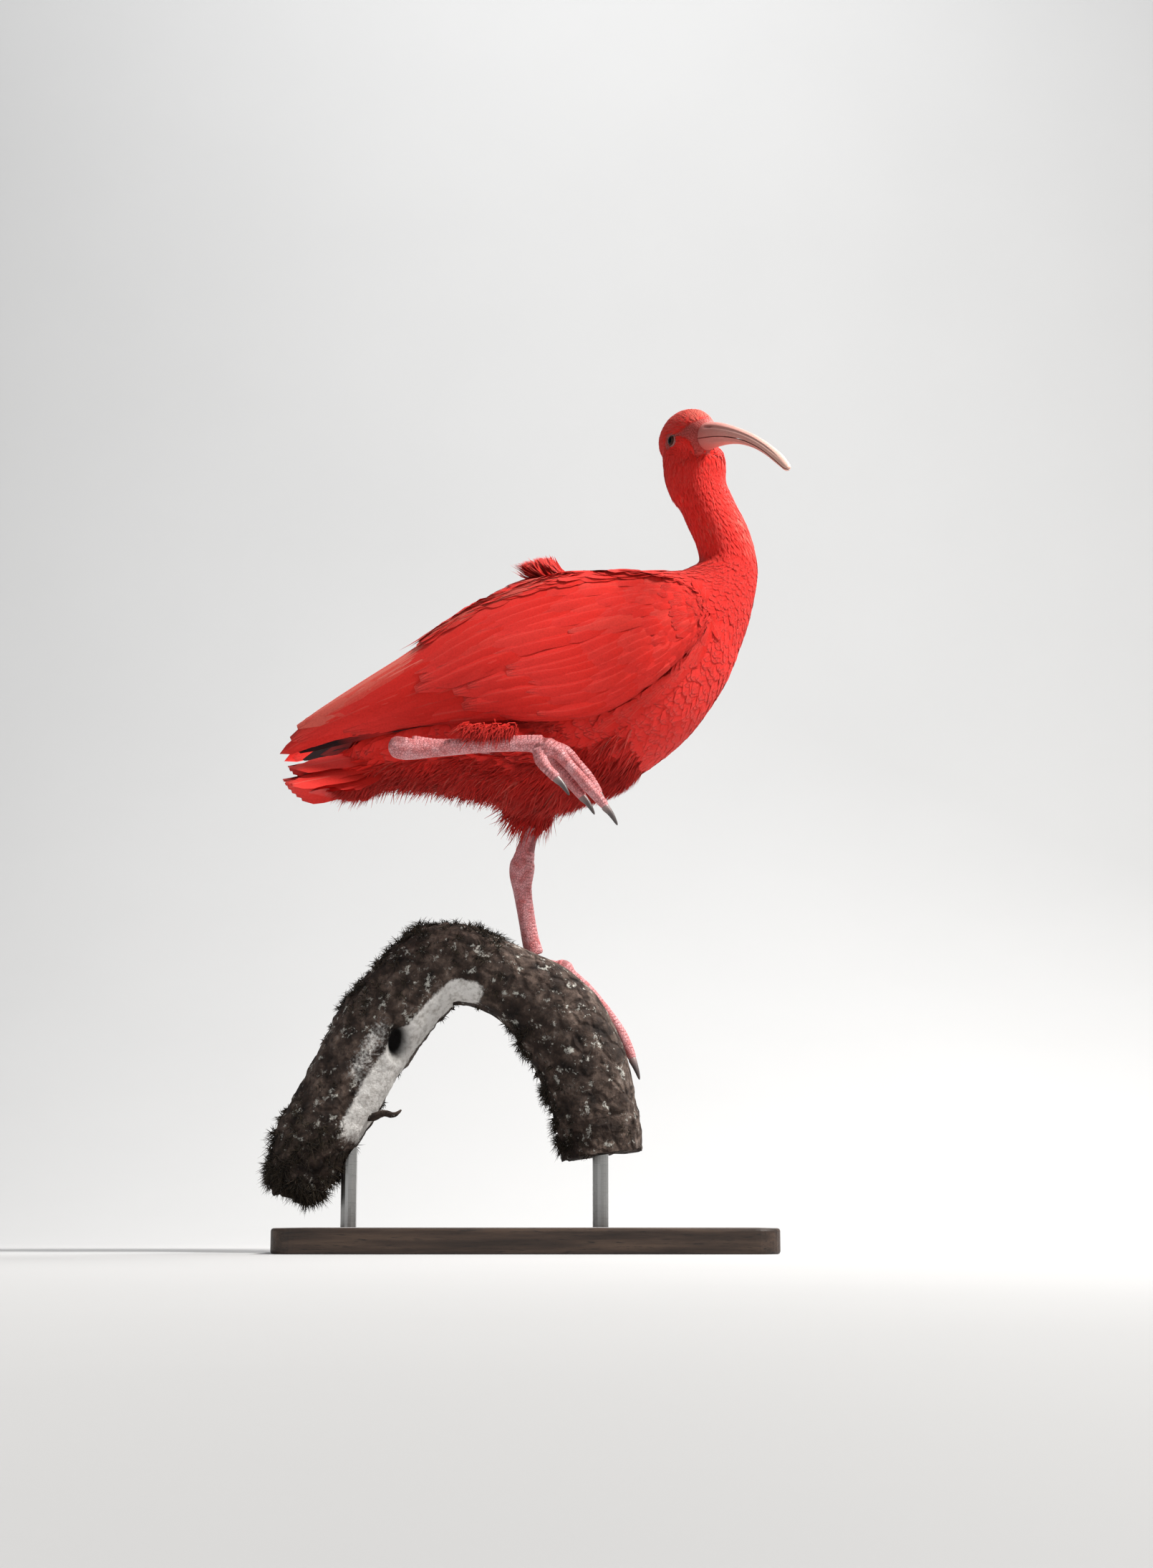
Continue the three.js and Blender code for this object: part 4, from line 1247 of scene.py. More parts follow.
@dataclass
class Wing:
    """One folded wing: flight feathers, coverts in tiers and the small feathers of its shoulder."""

    side: int
    body: Loft
    tilt: float = 0.10
    clear: float = 1.2
    tiers: tuple[Tier, ...] = (
        Tier(
            8, 0.3, 13, ((3.6, -50), (3.7, 0)), ((6.5, -70), (7.75, -14)), tone=(0.36, 0.5), black=1.0, streak=0.1
        ),
        Tier(12, 1.4, 17, ((3.3, -64), (3.4, 22)), ((5.2, -68), (7.55, 32)), tone=(0.38, 0.52), streak=0.12),
        Tier(7, 2.4, 18, ((3.1, 24), (3.3, 62)), ((5.7, 36), (7.1, 54)), streak=0.6, tone=(0.52, 0.82)),
        Tier(15, 3.2, 15, ((2.7, -64), (2.8, 62)), ((4.2, -66), (5.1, 52)), tone=(0.44, 0.56), streak=0.08),
        Tier(17, 4.0, 13, ((2.35, -64), (2.35, 62)), ((3.55, -66), (4.3, 58)), tone=(0.46, 0.56), streak=0.06),
        Tier(19, 4.6, 11.5, ((2.0, -64), (2.0, 64)), ((3.0, -66), (3.55, 60)), tone=(0.48, 0.56), streak=0.05),
        Tier(
            20, 5.1, 10.5, ((1.65, -64), (1.65, 66)), ((2.55, -66), (2.95, 62)), Blade.ROUND, 0.05, (0.5, 0.56), rows=7
        ),
        Tier(20, 5.5, 9.5, ((1.35, -64), (1.35, 66)), ((2.15, -66), (2.4, 64)), Blade.ROUND, 0.05, (0.5, 0.57), rows=7),
        Tier(19, 5.8, 8.5, ((1.05, -64), (1.05, 68)), ((1.8, -66), (1.95, 64)), Blade.ROUND, 0.04, (0.5, 0.58), rows=6),
        Tier(18, 6.0, 8, ((0.75, -66), (0.75, 70)), ((1.45, -66), (1.55, 66)), Blade.ROUND, 0.04, (0.52, 0.58), rows=6),
        Tier(16, 6.0, 7, ((0.5, -68), (0.5, 72)), ((1.1, -68), (1.2, 70)), Blade.ROUND, 0.03, (0.52, 0.58), rows=6),
        Tier(14, 5.4, 6.5, ((0.25, -70), (0.25, 76)), ((0.8, -70), (0.85, 74)), Blade.ROUND, 0.03, (0.52, 0.58), rows=5),
    )

    def flank(self, points: np.ndarray) -> np.ndarray:
        """Half the torso's width at some heights in its side view, nothing outside its outline."""
        middle, _, _, _, tall, wide = self.body.frame(np.linspace(0, 8.2, 70))
        flat = points.reshape(-1, 3)
        gap = np.hypot(flat[:, None, 0] - middle[None, :, 0], flat[:, None, 2] - middle[None, :, 2])
        best = np.argmin(gap / tall[None], axis=1)
        share = np.clip(gap[np.arange(len(flat)), best] / tall[best], 0, 1)
        return (wide[best] * np.sqrt(1 - share ** 2)).reshape(points.shape[:-1])

    def shell(self) -> bpy.types.Object:
        """A closed form that fills the feathered wing to just under its surface."""
        form = Loft(WING, mirror=self.side < 0)

        def place(along: np.ndarray, round_: np.ndarray) -> np.ndarray:
            """Rolls the grid round the wing and keeps its outer side clear of the flank."""
            station, angle = along * form.last, round_ * 2 * math.pi
            raised = (6.0 - 3.0 * smooth(1.5, 5.0, station)) * MM
            places = form.at(station, angle, raised)
            clear = self.flank(places) + self.clear * MM + raised
            outer = self.side * np.sin(angle) > 0
            outward = self.side * places[:, 1]
            places[:, 1] = self.side * np.where(outer, np.maximum(outward, clear), outward)
            return places

        return grid_mesh("wing_shell", 90, 64, place)

    def build(self, name: str, finish: bpy.types.Material, nodes: Sequence[str]) -> bpy.types.Object:
        """Builds all tiers as one coat piece.

        Args:
            name: the piece's name.
            finish: its plumage.
            nodes: the solid it stands for.

        Returns:
            The piece.
        """
        coat = Coat(name)
        form = Loft(WING, mirror=self.side < 0)
        for number, tier in enumerate(self.tiers):
            self.lay(coat, form, tier, number)
        made = coat.finish(finish, "flight_feather")
        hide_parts(*nodes)
        return made

    def lay(self, coat: Coat, form: Loft, tier: Tier, number: int) -> None:
        """Lays one tier on the wing's form.

        Args:
            coat: the coat that takes it.
            form: the shape that the folded wing fills.
            tier: the tier.
            number: its place in the order, which seeds its draws.
        """
        draw = np.random.default_rng(SEED + 100 + number)
        order = np.linspace(0, 1, tier.count)
        low, high = np.array(tier.root[0]), np.array(tier.root[1])
        root = low + (high - low) * order[:, None]
        low, high = np.array(tier.tip[0]), np.array(tier.tip[1])
        tip = low + (high - low) * order[:, None]
        spread = (tip[0, 0] - root[0, 0]) * 0.14
        tip[:, 0] += draw.normal(0, spread, tier.count)
        tip[:, 1] += draw.normal(0, 2.4, tier.count)
        root[:, 0] += draw.normal(0, 0.08, tier.count)
        columns = 5
        share = np.linspace(0, 1, tier.rows)
        across_share = np.linspace(-1, 1, columns)
        width = tier.width * draw.uniform(0.93, 1.07, tier.count)
        fray = 1 + draw.normal(0, tier.fray, (tier.count, tier.rows, columns))
        outline = tier.blade.widths(share)[None, :, None]
        across = outline * width[:, None, None] * 0.5 * across_share[None, None, :] * fray
        station = root[:, None, 0] + (tip - root)[:, None, 0] * share[None, :]
        above = root[:, None, 1] + (tip - root)[:, None, 1] * share[None, :]
        station = np.broadcast_to(station[..., None], across.shape)
        above = np.broadcast_to(above[..., None], across.shape)
        angle = self.side * np.radians(90 + above)
        _, _, _, _, tall, wide = form.frame(station)
        bend = np.maximum(6 * MM, np.hypot(tall * np.sin(angle), wide * np.cos(angle)))
        sink = np.where(share < 0.02, -2.0, 0.0)[None, :, None]
        settle = (tier.lift * (0.25 + 0.75 * smooth(0, 0.3, share)))[None, :, None]
        droop = 0.9 * smooth(0.6, 1.0, share)[None, :, None]
        curve = 0.02 * across ** 2
        raised = (sink + settle - self.tilt * across - droop - curve) * MM
        turned = angle + self.side * across * MM / bend
        places = form.at(station, turned, raised)
        out = unit(form.at(station, turned, raised + MM) - places)
        outward = self.side * places[..., 1]
        clear = self.flank(places) + self.clear * MM + np.maximum(0, raised)
        places[..., 1] = self.side * np.maximum(outward, clear)
        # Painted light and shade: in each tier the lower feathers are darker and the upper ones paler, as the wing's
        # top is lit and its lower part shaded; each feather also varies at random.
        shade = tier.tone[0] + (tier.tone[1] - tier.tone[0]) * order + draw.normal(0, 0.045, tier.count)
        spot = unwrapped(root[:, 0], np.radians(root[:, 1]) + math.pi, 9)
        spot[:, 0] = np.clip(spot[:, 0] + 0.03 * number, 0, 1)
        black = tier.black * (1 - smooth(0.25, 0.4, order))
        coat.add(places, out, 0.5 * MM, shade, spot, tier.streak, black)


@dataclass
class Tail:
    """Tail feathers in a fan, with coverts above and below."""

    count: int = 12
    width: float = 17.0
    spread: float = 25.0
    # Rows of coverts: feathers, height of the roots, reach and height of the tips, and seed
    coverts: tuple[tuple[int, float, float, float, int], ...] = (
        (9, 317, -156, 307, 25), (9, 311, -146, 302, 21), (9, 300, -142, 290, 22),
        (8, 301, -132, 288, 23), (8, 302, -122, 288, 24),
    )

    def fan(
        self,
        coat: Coat,
        root: np.ndarray,
        tip: np.ndarray,
        roll: np.ndarray,
        width: float,
        tone: float,
        streak: float,
        seed: int,
    ) -> None:
        """Lays flat feathers from roots to tips.

        Args:
            coat: the coat that takes them.
            root: where they start, in millimetres.
            tip: where they end.
            roll: how far each one is turned about its shaft, in radians.
            width: their width.
            tone: dark 0 to pale 1.
            streak: how pale their shafts show.
            seed: fixes the random draws.
        """
        draw = np.random.default_rng(seed)
        share = np.linspace(0, 1, 9)
        across = np.linspace(-1, 1, 5)
        along = unit(tip - root)
        level = unit(np.stack([-along[:, 1], along[:, 0], np.zeros(len(root))], axis=1))
        sideways = level * np.cos(roll)[:, None]
        sideways[:, 2] += np.sin(roll)
        out = unit(np.cross(along, sideways))
        out = out * np.sign(out[:, 2:3])
        fray = 1 + draw.normal(0, 0.05, (len(root), 9, 5))
        half = Blade.FLIGHT.widths(share)[None, :, None] * width * 0.5 * across[None, None] * fray
        line = root[:, None] + (tip - root)[:, None] * share[None, :, None]
        layer = line[:, :, None] + sideways[:, None, None] * half[..., None]
        layer = layer - out[:, None, None] * (0.012 * half ** 2)[..., None]
        shade = tone + draw.normal(0, 0.05, len(root))
        spot = np.stack([0.1 + 0.8 * (root[:, 1] / 40 + 0.5), np.full(len(root), 0.5)], axis=1)
        outs = np.broadcast_to(out[:, None, None], layer.shape)
        coat.add(layer * MM, outs, 0.5 * MM, shade, spot, streak)

    def build(self, finish: bpy.types.Material) -> None:
        """Builds the fan and its coverts as one piece that stands for the tail."""
        coat = Coat("tail_feathers")
        away = np.linspace(-1, 1, self.count)
        under = 1.42 * np.abs(away) * (self.count - 1) / 2
        root = np.stack([np.full(self.count, -98.0), 11 * away, 309 - 0.6 * under], axis=1)
        tip = np.stack([-159 + 9 * away ** 2, self.spread * away, 299 - under], axis=1)
        self.fan(coat, root, tip, 0.75 * away, self.width, 0.5, 0.3, SEED + 20)
        for rows, height, reach, drop, seed in self.coverts:
            away = np.linspace(-1, 1, rows)
            sign = 1 if height > 305 else -1
            bow = 2.0 * np.abs(away) * sign
            root = np.stack([np.full(rows, -92.0), 11 * away, height - bow], axis=1)
            tip = np.stack([reach + 8 * away ** 2, 17 * away, drop - 2 * bow], axis=1)
            # Painted shade: the coverts below the tail are darker than those above.
            self.fan(coat, root, tip, 0.75 * away, 17.0, 0.44 if sign < 0 else 0.52, 0.1, SEED + seed)
        made = coat.finish(finish, "flight_feather")
        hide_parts("tail")


@dataclass(frozen=True)
class Horn:
    """The finish of the bill: dusky rose at its base, pale and mottled towards its tip."""

    base: tuple[float, float, float] = (0.56, 0.155, 0.13)
    middle: tuple[float, float, float] = (0.68, 0.30, 0.25)
    tip: tuple[float, float, float] = (0.77, 0.48, 0.39)

    def build(self) -> bpy.types.Material:
        """The material."""
        shade = Shade("bill_horn", 0.42, 0.0, 0.45)
        along = shade.attribute("Along")
        colour = shade.ramp(along, ((0.0, self.base), (0.25, self.middle), (1.0, self.tip)))
        mottle = shade.mask(shade.noise(420.0, 6.0, 0.6), 0.4, 0.72)
        colour = shade.mix(shade.math("MULTIPLY", mottle, 0.25), colour, self.base)
        # Painted shade: the grooves, the nostril slit and the mouth line are darkened.
        groove = shade.attribute("GrooveShade")
        colour = shade.mix(shade.math("MULTIPLY", groove, 0.5), colour, (0.22, 0.055, 0.045))
        shade.colour(colour)
        wrinkle = shade.math("MULTIPLY", shade.noise(1500.0, 4.0), shade.mask(along, 0.35, 0.0))
        shade.bump(shade.math("ADD", wrinkle, shade.math("MULTIPLY", shade.noise(900.0, 3.0), 0.25)), 0.0003)
        shade.rough(shade.mask(shade.noise(700.0, 3.0), -0.6, 1.6))
        return shade.material


@dataclass
class Bill:
    """The long curved bill in two halves that part along the mouth line."""

    matrix: Matrix
    length: float = 111.0
    start_pitch: float = -9.0
    end_pitch: float = -42.0
    halves: tuple[float, ...] = (9.1, 7.8, 6.2, 4.9, 4.1, 3.6, 3.3, 3.1, 2.1)
    widths: tuple[float, ...] = (7.6, 6.4, 5.3, 4.6, 4.1, 3.8, 3.6, 3.4, 2.3)
    mouth: float = -0.3
    parting: float = 0.16

    def loft(self) -> Loft:
        """The form of the closed bill, round its own line."""
        count = len(self.halves) - 1
        ahead, up = 22.6, -3.8
        stations = []
        for i, (tall, wide) in enumerate(zip(self.halves, self.widths)):
            pitch = math.radians(self.start_pitch + (self.end_pitch - self.start_pitch) * i / count)
            if i:
                ahead += math.cos(pitch) * self.length / count
                up += math.sin(pitch) * self.length / count
            stations.append((ahead, 0.0, up, tall, wide))
        return Loft(stations, matrix=self.matrix)

    def half(self, name: str, finish: bpy.types.Material, upper: bool) -> bpy.types.Object:
        """One half of the bill.

        Args:
            name: its name.
            finish: its horn.
            upper: True for the half above the mouth line.

        Returns:
            The piece.
        """
        loft = self.loft()
        rows, columns = 190, 72
        grooves: list[np.ndarray] = []

        def place(along: np.ndarray, round_: np.ndarray) -> np.ndarray:
            """Rolls the grid round the bill and presses its flat, groove and nostril in."""
            end = 1 - np.clip((along - 0.965) / 0.035, 0, 1) ** 2
            station = along * loft.last
            middle, _, side, upward, tall, wide = loft.frame(station)
            tall, wide = tall * (0.12 + 0.88 * np.sqrt(end)), wide * (0.12 + 0.88 * np.sqrt(end))
            turn = round_ * 2 * math.pi
            height, across = np.cos(turn), np.sin(turn)
            line = self.mouth * tall
            gap = self.parting * MM
            if upper:
                level = np.maximum(height * tall, line + gap * (1 + 0.6 * np.abs(across)))
                away = np.abs(np.abs(np.degrees(np.arctan2(across, height))) - 58)
                groove = (1 - smooth(4, 12, away)) * smooth(0.01, 0.06, along) * (1 - smooth(0.72, 0.95, along))
                slit = np.exp(-((along - 0.082) / 0.026) ** 2) * (1 - smooth(2, 8, away))
                press = (0.55 * groove + 1.3 * slit) * MM
                # Painted shade: the groove and the nostril slit, pressed in, are also darkened.
                dark = np.clip(groove * 0.4 + slit * 1.8, 0, 1)
            else:
                level = np.minimum(height * tall, line - gap * (1 + 0.6 * np.abs(across)))
                away = np.abs(np.abs(np.degrees(np.arctan2(across, height))) - 128)
                groove = (1 - smooth(4, 14, away)) * smooth(0.05, 0.2, along) * (1 - smooth(0.6, 0.9, along))
                press = 0.3 * groove * MM
                dark = groove * 0.4
            # Painted shade: a dark line along the mouth, where the halves part.
            edge = np.exp(-((level - line) / (0.5 * MM)) ** 2)
            grooves.append(np.stack([along, np.clip(dark + 0.5 * edge, 0, 1)], axis=1))
            point = middle + upward * level[:, None] + side * (across * (wide - press))[:, None]
            return point @ loft.matrix[:3, :3].T + loft.matrix[:3, 3]

        made = grid_mesh(name, rows, columns, place)
        local = coordinates(made)
        share, round_ = np.linspace(0, 1, rows + 1), np.linspace(0, 1, columns + 1)
        table = place(np.repeat(share, columns + 1), np.tile(round_, rows + 1))
        tree = KDTable(table, grooves[-1])
        values = tree.read(local)
        set_attribute(made, "Along", values[:, 0])
        set_attribute(made, "GrooveShade", values[:, 1])
        made.data.materials.append(finish)
        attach(made, "root")
        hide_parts("bill_upper" if upper else "bill_lower")
        log.info("%s: %d faces", name, len(made.data.polygons))
        return made


class KDTable:
    """Values at known places, read at the nearest one."""

    def __init__(self, places: np.ndarray, values: np.ndarray) -> None:
        """Keeps the places in a search tree."""
        self.tree = KDTree(len(places))
        for i, place in enumerate(places):
            self.tree.insert(Vector(place), i)
        self.tree.balance()
        self.values = values

    def read(self, points: np.ndarray) -> np.ndarray:
        """The values nearest to some points."""
        return np.array([self.values[self.tree.find(Vector(point))[1]] for point in points])


@dataclass(frozen=True)
class EyeGloss:
    """The finish of the eye: almost black, with a thin brown iris."""

    def build(self) -> bpy.types.Material:
        """The material."""
        shade = Shade("eye_gloss", 0.07, 0.0, 0.12)
        ring = shade.attribute("Ring")
        fibre = shade.mix(shade.noise(2600.0, 5.0), (0.030, 0.010, 0.006), (0.085, 0.028, 0.014))
        inner = shade.mask(ring, 0.50, 0.56)
        colour = shade.mix(inner, (0.002, 0.002, 0.002), fibre)
        colour = shade.mix(shade.mask(ring, 0.80, 0.92), colour, (0.010, 0.004, 0.003))
        shade.colour(colour)
        return shade.material


@dataclass(frozen=True)
class LidSkin:
    """The finish of the lids: wrinkled grey rose."""

    def build(self) -> bpy.types.Material:
        """The material."""
        shade = Shade("lid_skin", 0.55, 0.0, 0.4)
        grain = shade.noise(3200.0, 4.0)
        shade.colour(shade.mix(shade.mask(grain, 0.3, 0.7), (0.20, 0.05, 0.045), (0.42, 0.20, 0.18)))
        shade.bump(grain, 0.0002)
        return shade.material


@dataclass
class Eye:
    """One eye with its lid."""

    side: int
    matrix: Matrix
    ahead: float = -1.0
    up: float = -2.0
    out: float = 11.4
    radius: float = 4.6
    lid: float = 0.75

    def build(self, gloss: bpy.types.Material, lid_finish: bpy.types.Material) -> None:
        """Builds the ball and the ring of skin round it.

        Args:
            gloss: the finish of the ball.
            lid_finish: the finish of the lid.
        """
        name = "left" if self.side > 0 else "right"
        turn = Matrix.Rotation(-math.pi / 2 * self.side, 4, "X")
        place = self.matrix @ Matrix.Translation(Vector((self.ahead, self.side * self.out, self.up)) * MM) @ turn
        work = bmesh.new()
        bmesh.ops.create_uvsphere(work, u_segments=48, v_segments=32, radius=self.radius * MM)
        local = np.array([vertex.co[:] for vertex in work.verts]) / (self.radius * MM)
        bmesh.ops.transform(work, matrix=place, verts=work.verts)
        ball = to_object(f"eyeball_{name}", work)
        ring = np.degrees(np.arccos(np.clip(local[:, 2], -1, 1))) / 60
        set_attribute(ball, "Ring", ring)
        ball.data.materials.append(gloss)
        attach(ball, "root")
        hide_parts(f"eye_{name}")
        work = bmesh.new()
        bmesh.ops.create_circle(work, segments=14, radius=self.lid * MM)
        stand = Matrix.Translation(((self.radius - 0.45) * MM, 0, 0)) @ Matrix.Rotation(math.pi / 2, 4, "X")
        bmesh.ops.transform(work, matrix=stand, verts=work.verts)
        bmesh.ops.spin(work, geom=work.verts[:] + work.edges[:], cent=(0, 0, 0), axis=(0, 0, 1),
                       angle=2 * math.pi, steps=48, use_merge=True)
        bmesh.ops.remove_doubles(work, verts=work.verts, dist=1e-7)
        for vertex in work.verts:
            bearing = math.atan2(vertex.co.y, vertex.co.x)
            vertex.co.x *= 1.08
            vertex.co.y *= 0.92 + 0.05 * math.cos(bearing)
            wave = noise.noise(vertex.co * 900.0) * 0.12 * MM
            vertex.co.z += 2.3 * MM + wave
        bmesh.ops.recalc_face_normals(work, faces=work.faces)
        bmesh.ops.transform(work, matrix=place, verts=work.verts)
        lid = to_object(f"eyelid_{name}", work)
        lid.data.materials.append(lid_finish)
        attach(lid, "root")


@dataclass(frozen=True)
class LegSkin:
    """The finish of legs and toes: pink scutes with darker seams."""

    pale: tuple[float, float, float] = (0.88, 0.42, 0.44)
    flesh: tuple[float, float, float] = (0.68, 0.17, 0.17)
    seam: tuple[float, float, float] = (0.22, 0.04, 0.04)

    def build(self) -> bpy.types.Material:
        """The material."""
        shade = Shade("leg_skin", 0.5, 0.0, 0.45)
        cell = shade.node("ShaderNodeTexVoronoi", feature="DISTANCE_TO_EDGE")
        shade.join(shade.object_place(), cell.inputs["Vector"])
        cell.inputs["Scale"].default_value = 620.0
        line = shade.mask(cell.outputs["Distance"], 0.0, 0.12)
        colour = shade.mix(shade.mask(shade.noise(210.0, 6.0), 0.25, 0.75), self.flesh, self.pale)
        colour = shade.mix(shade.math("MULTIPLY", shade.math("SUBTRACT", 1.0, line), 0.45), colour, self.seam)
        scute = shade.attribute("Scute")
        colour = shade.mix(shade.math("MULTIPLY", scute, 0.7), colour, self.seam)
        shade.colour(colour)
        pores = shade.math("MULTIPLY", shade.noise(2800.0, 3.0), 0.4)
        height = shade.math("ADD", shade.math("MULTIPLY", line, 0.6), pores)
        shade.bump(height, 0.00045)
        return shade.material


@dataclass
class Leg:
    """The bare part of one leg: shin, shank and foot as one skin with scutes."""

    name: str
    paths: tuple[Path, ...]
    voxel: float = 0.62
    period: float = 2.3

    def build(self, finish: bpy.types.Material) -> bpy.types.Object:
        """Blends the leg's solids and raises its scutes.

        Args:
            finish: the leg's skin.

        Returns:
            The piece.
        """
        nodes = [f"shin_{self.name}", f"tarsus_{self.name}", f"foot_{self.name}"]
        copies = []
        for node in nodes:
            work = bmesh.new()
            work.from_mesh(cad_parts[node].data)
            bmesh.ops.remove_doubles(work, verts=work.verts, dist=1e-6)
            bmesh.ops.subdivide_edges(work, edges=work.edges, cuts=1, use_grid_fill=True)
            bmesh.ops.smooth_vert(work, verts=work.verts, factor=0.5, use_axis_x=True, use_axis_y=True, use_axis_z=True)
            for vertex in work.verts:
                vertex.co += vertex.normal * 0.1 * MM
            copies.append(to_object(node + "_copy", work))
        made = blended(f"leg_{self.name}", copies, self.voxel * MM, 7)
        points, ways = coordinates(made), normals(made)
        shift, seam = self.scutes(points, ways)
        move_points(made, points + ways * (shift[:, None] + 0.12 * MM))
        set_attribute(made, "Scute", seam)
        made.data.materials.append(finish)
        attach(made, "root")
        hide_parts(*nodes)
        log.info("%s: %d faces", made.name, len(made.data.polygons))
        return made

    def scutes(self, points: np.ndarray, ways: np.ndarray) -> tuple[np.ndarray, np.ndarray]:
        """Bands across the front of the shank and the top of each toe.

        Args:
            points: the skin's points.
            ways: the way it looks there.

        Returns:
            How far each point is raised, and how deep in a seam it lies.
        """
        best = np.full(len(points), 1e9)
        travel = np.zeros(len(points))
        facing = np.zeros(len(points))
        for path, front in self.paths:
            done = 0.0
            for start, end in zip(path[:-1], path[1:]):
                line = end - start
                length = np.linalg.norm(line)
                share = np.clip((points - start) @ line / length ** 2, 0, 1)
                gap = np.linalg.norm(points - start - share[:, None] * line, axis=1)
                nearer = gap < best
                best = np.where(nearer, gap, best)
                travel = np.where(nearer, done + share * length, travel)
                facing = np.where(nearer, ways @ front, facing)
                done += length
        phase = (travel / (self.period * MM)) % 1.0
        groove = np.exp(-(np.minimum(phase, 1 - phase) / 0.11) ** 2)
        on = smooth(0.05, 0.5, facing)
        return 0.26 * MM * on * (0.6 - groove), groove * on


@dataclass(frozen=True)
class ClawHorn:
    """The finish of the claws: dark grey horn, paler at its root."""

    def build(self) -> bpy.types.Material:
        """The material."""
        shade = Shade("claw_horn", 0.35, 0.0, 0.5)
        streak = shade.noise(900.0, 4.0)
        stops = ((0.0, (0.30, 0.20, 0.19)), (0.35, (0.10, 0.080, 0.080)), (1.0, (0.035, 0.030, 0.030)))
        colour = shade.ramp(shade.attribute("Along"), stops)
        shade.colour(shade.mix(shade.math("MULTIPLY", streak, 0.35), colour, (0.20, 0.16, 0.15)))
        shade.bump(streak, 0.0001)
        return shade.material


@dataclass
class Claw:
    """One claw, rebuilt smooth along its solid's own line."""

    node: str
    axis: np.ndarray

    def build(self, finish: bpy.types.Material) -> None:
        """Builds the claw from the line of its solid."""
        points = coordinates(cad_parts[self.node])
        reach = points @ self.axis
        low, high = reach.min(), reach.max()
        centres, halves = [], []
        for share in (0.02, 0.3, 0.55, 0.8, 0.97):
            level = low + (high - low) * share
            weight = np.exp(-((reach - level) / ((high - low) * 0.16)) ** 2)
            centre = (points * weight[:, None]).sum(axis=0) / weight.sum()
            centres.append(centre)
            halves.append((1 - share) ** 0.8 * 2.35 + 0.22)
        first = centres[0] - self.axis * 1.2 * MM
        table = [(*(first / MM), 2.3, 2.2)] + [(*(c / MM), h, h * 0.85) for c, h in zip(centres, halves)]
        loft = Loft(table)

        def place(along: np.ndarray, round_: np.ndarray) -> np.ndarray:
            """Rolls the grid round the claw and closes its point."""
            end = np.sqrt(1 - np.clip((along - 0.9) / 0.1, 0, 1) ** 2 * 0.98)
            point = loft.at(along * loft.last, round_ * 2 * math.pi)
            middle = loft.frame(along * loft.last)[0]
            return middle + (point - middle) * end[:, None]

        made = grid_mesh(self.node + "_horn", 28, 18, place)
        set_attribute(made, "Along", (coordinates(made) @ self.axis - low) / (high - low))
        made.data.materials.append(finish)
        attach(made, "root")
        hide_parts(self.node)


@dataclass(frozen=True)
class Bark:
    """The finish of the branch: dark cracked bark, lichen flecks, and bare weathered wood."""

    def build(self) -> bpy.types.Material:
        """The material."""
        shade = Shade("bark", 0.9, 0.0, 0.25)
        place = shade.object_place()
        coarse = shade.noise(85.0, 8.0, 0.62, place)
        fine = shade.noise(520.0, 7.0, 0.65, place)
        crack = shade.node("ShaderNodeTexVoronoi", feature="DISTANCE_TO_EDGE")
        shade.join(place, crack.inputs["Vector"])
        crack.inputs["Scale"].default_value = 95.0
        stops = (
            (0.34, (0.010, 0.007, 0.006)), (0.48, (0.050, 0.033, 0.026)),
            (0.60, (0.13, 0.092, 0.074)), (0.74, (0.26, 0.22, 0.195)),
        )
        colour = shade.ramp(coarse, stops)
        colour = shade.mix(shade.mask(fine, 0.45, 0.70), colour, (0.035, 0.026, 0.022))
        flecks = shade.mask(shade.noise(150.0, 6.0, 0.7, place), 0.57, 0.64)
        lichen = shade.math("MULTIPLY", flecks, shade.mask(fine, 0.38, 0.55))
        colour = shade.mix(lichen, colour, (0.56, 0.55, 0.50))
        stops = ((0.3, (0.50, 0.47, 0.44)), (0.55, (0.88, 0.86, 0.83)))
        wood = shade.ramp(shade.noise(300.0, 6.0, 0.6, place), stops)
        ragged = shade.math("MULTIPLY", shade.math("SUBTRACT", fine, 0.5), 0.9)
        bare = shade.mask(shade.math("ADD", shade.attribute("Bare"), ragged), 0.35, 0.75)
        colour = shade.mix(bare, colour, wood)
        # Painted shade: the inside of the hollow is painted near black.
        colour = shade.mix(shade.attribute("HollowShade"), colour, (0.004, 0.003, 0.003))
        shade.colour(colour)
        plates = shade.mask(crack.outputs["Distance"], 0.0, 0.25)
        crest = shade.math("MULTIPLY", plates, shade.math("SUBTRACT", 1.0, bare))
        relief = shade.math("ADD", coarse, shade.math("MULTIPLY", fine, 0.6))
        shade.bump(shade.math("ADD", relief, crest), 0.0018)
        return shade.material


@dataclass(frozen=True)
class Moss:
    """The finish of the moss and dry lichen tufts."""

    def build(self) -> bpy.types.Material:
        """The material."""
        shade = Shade("moss", 0.95, 0.1, 0.1)
        shade.colour(shade.mix(shade.attribute("Tone"), (0.007, 0.005, 0.004), (0.060, 0.045, 0.030)))
        return shade.material


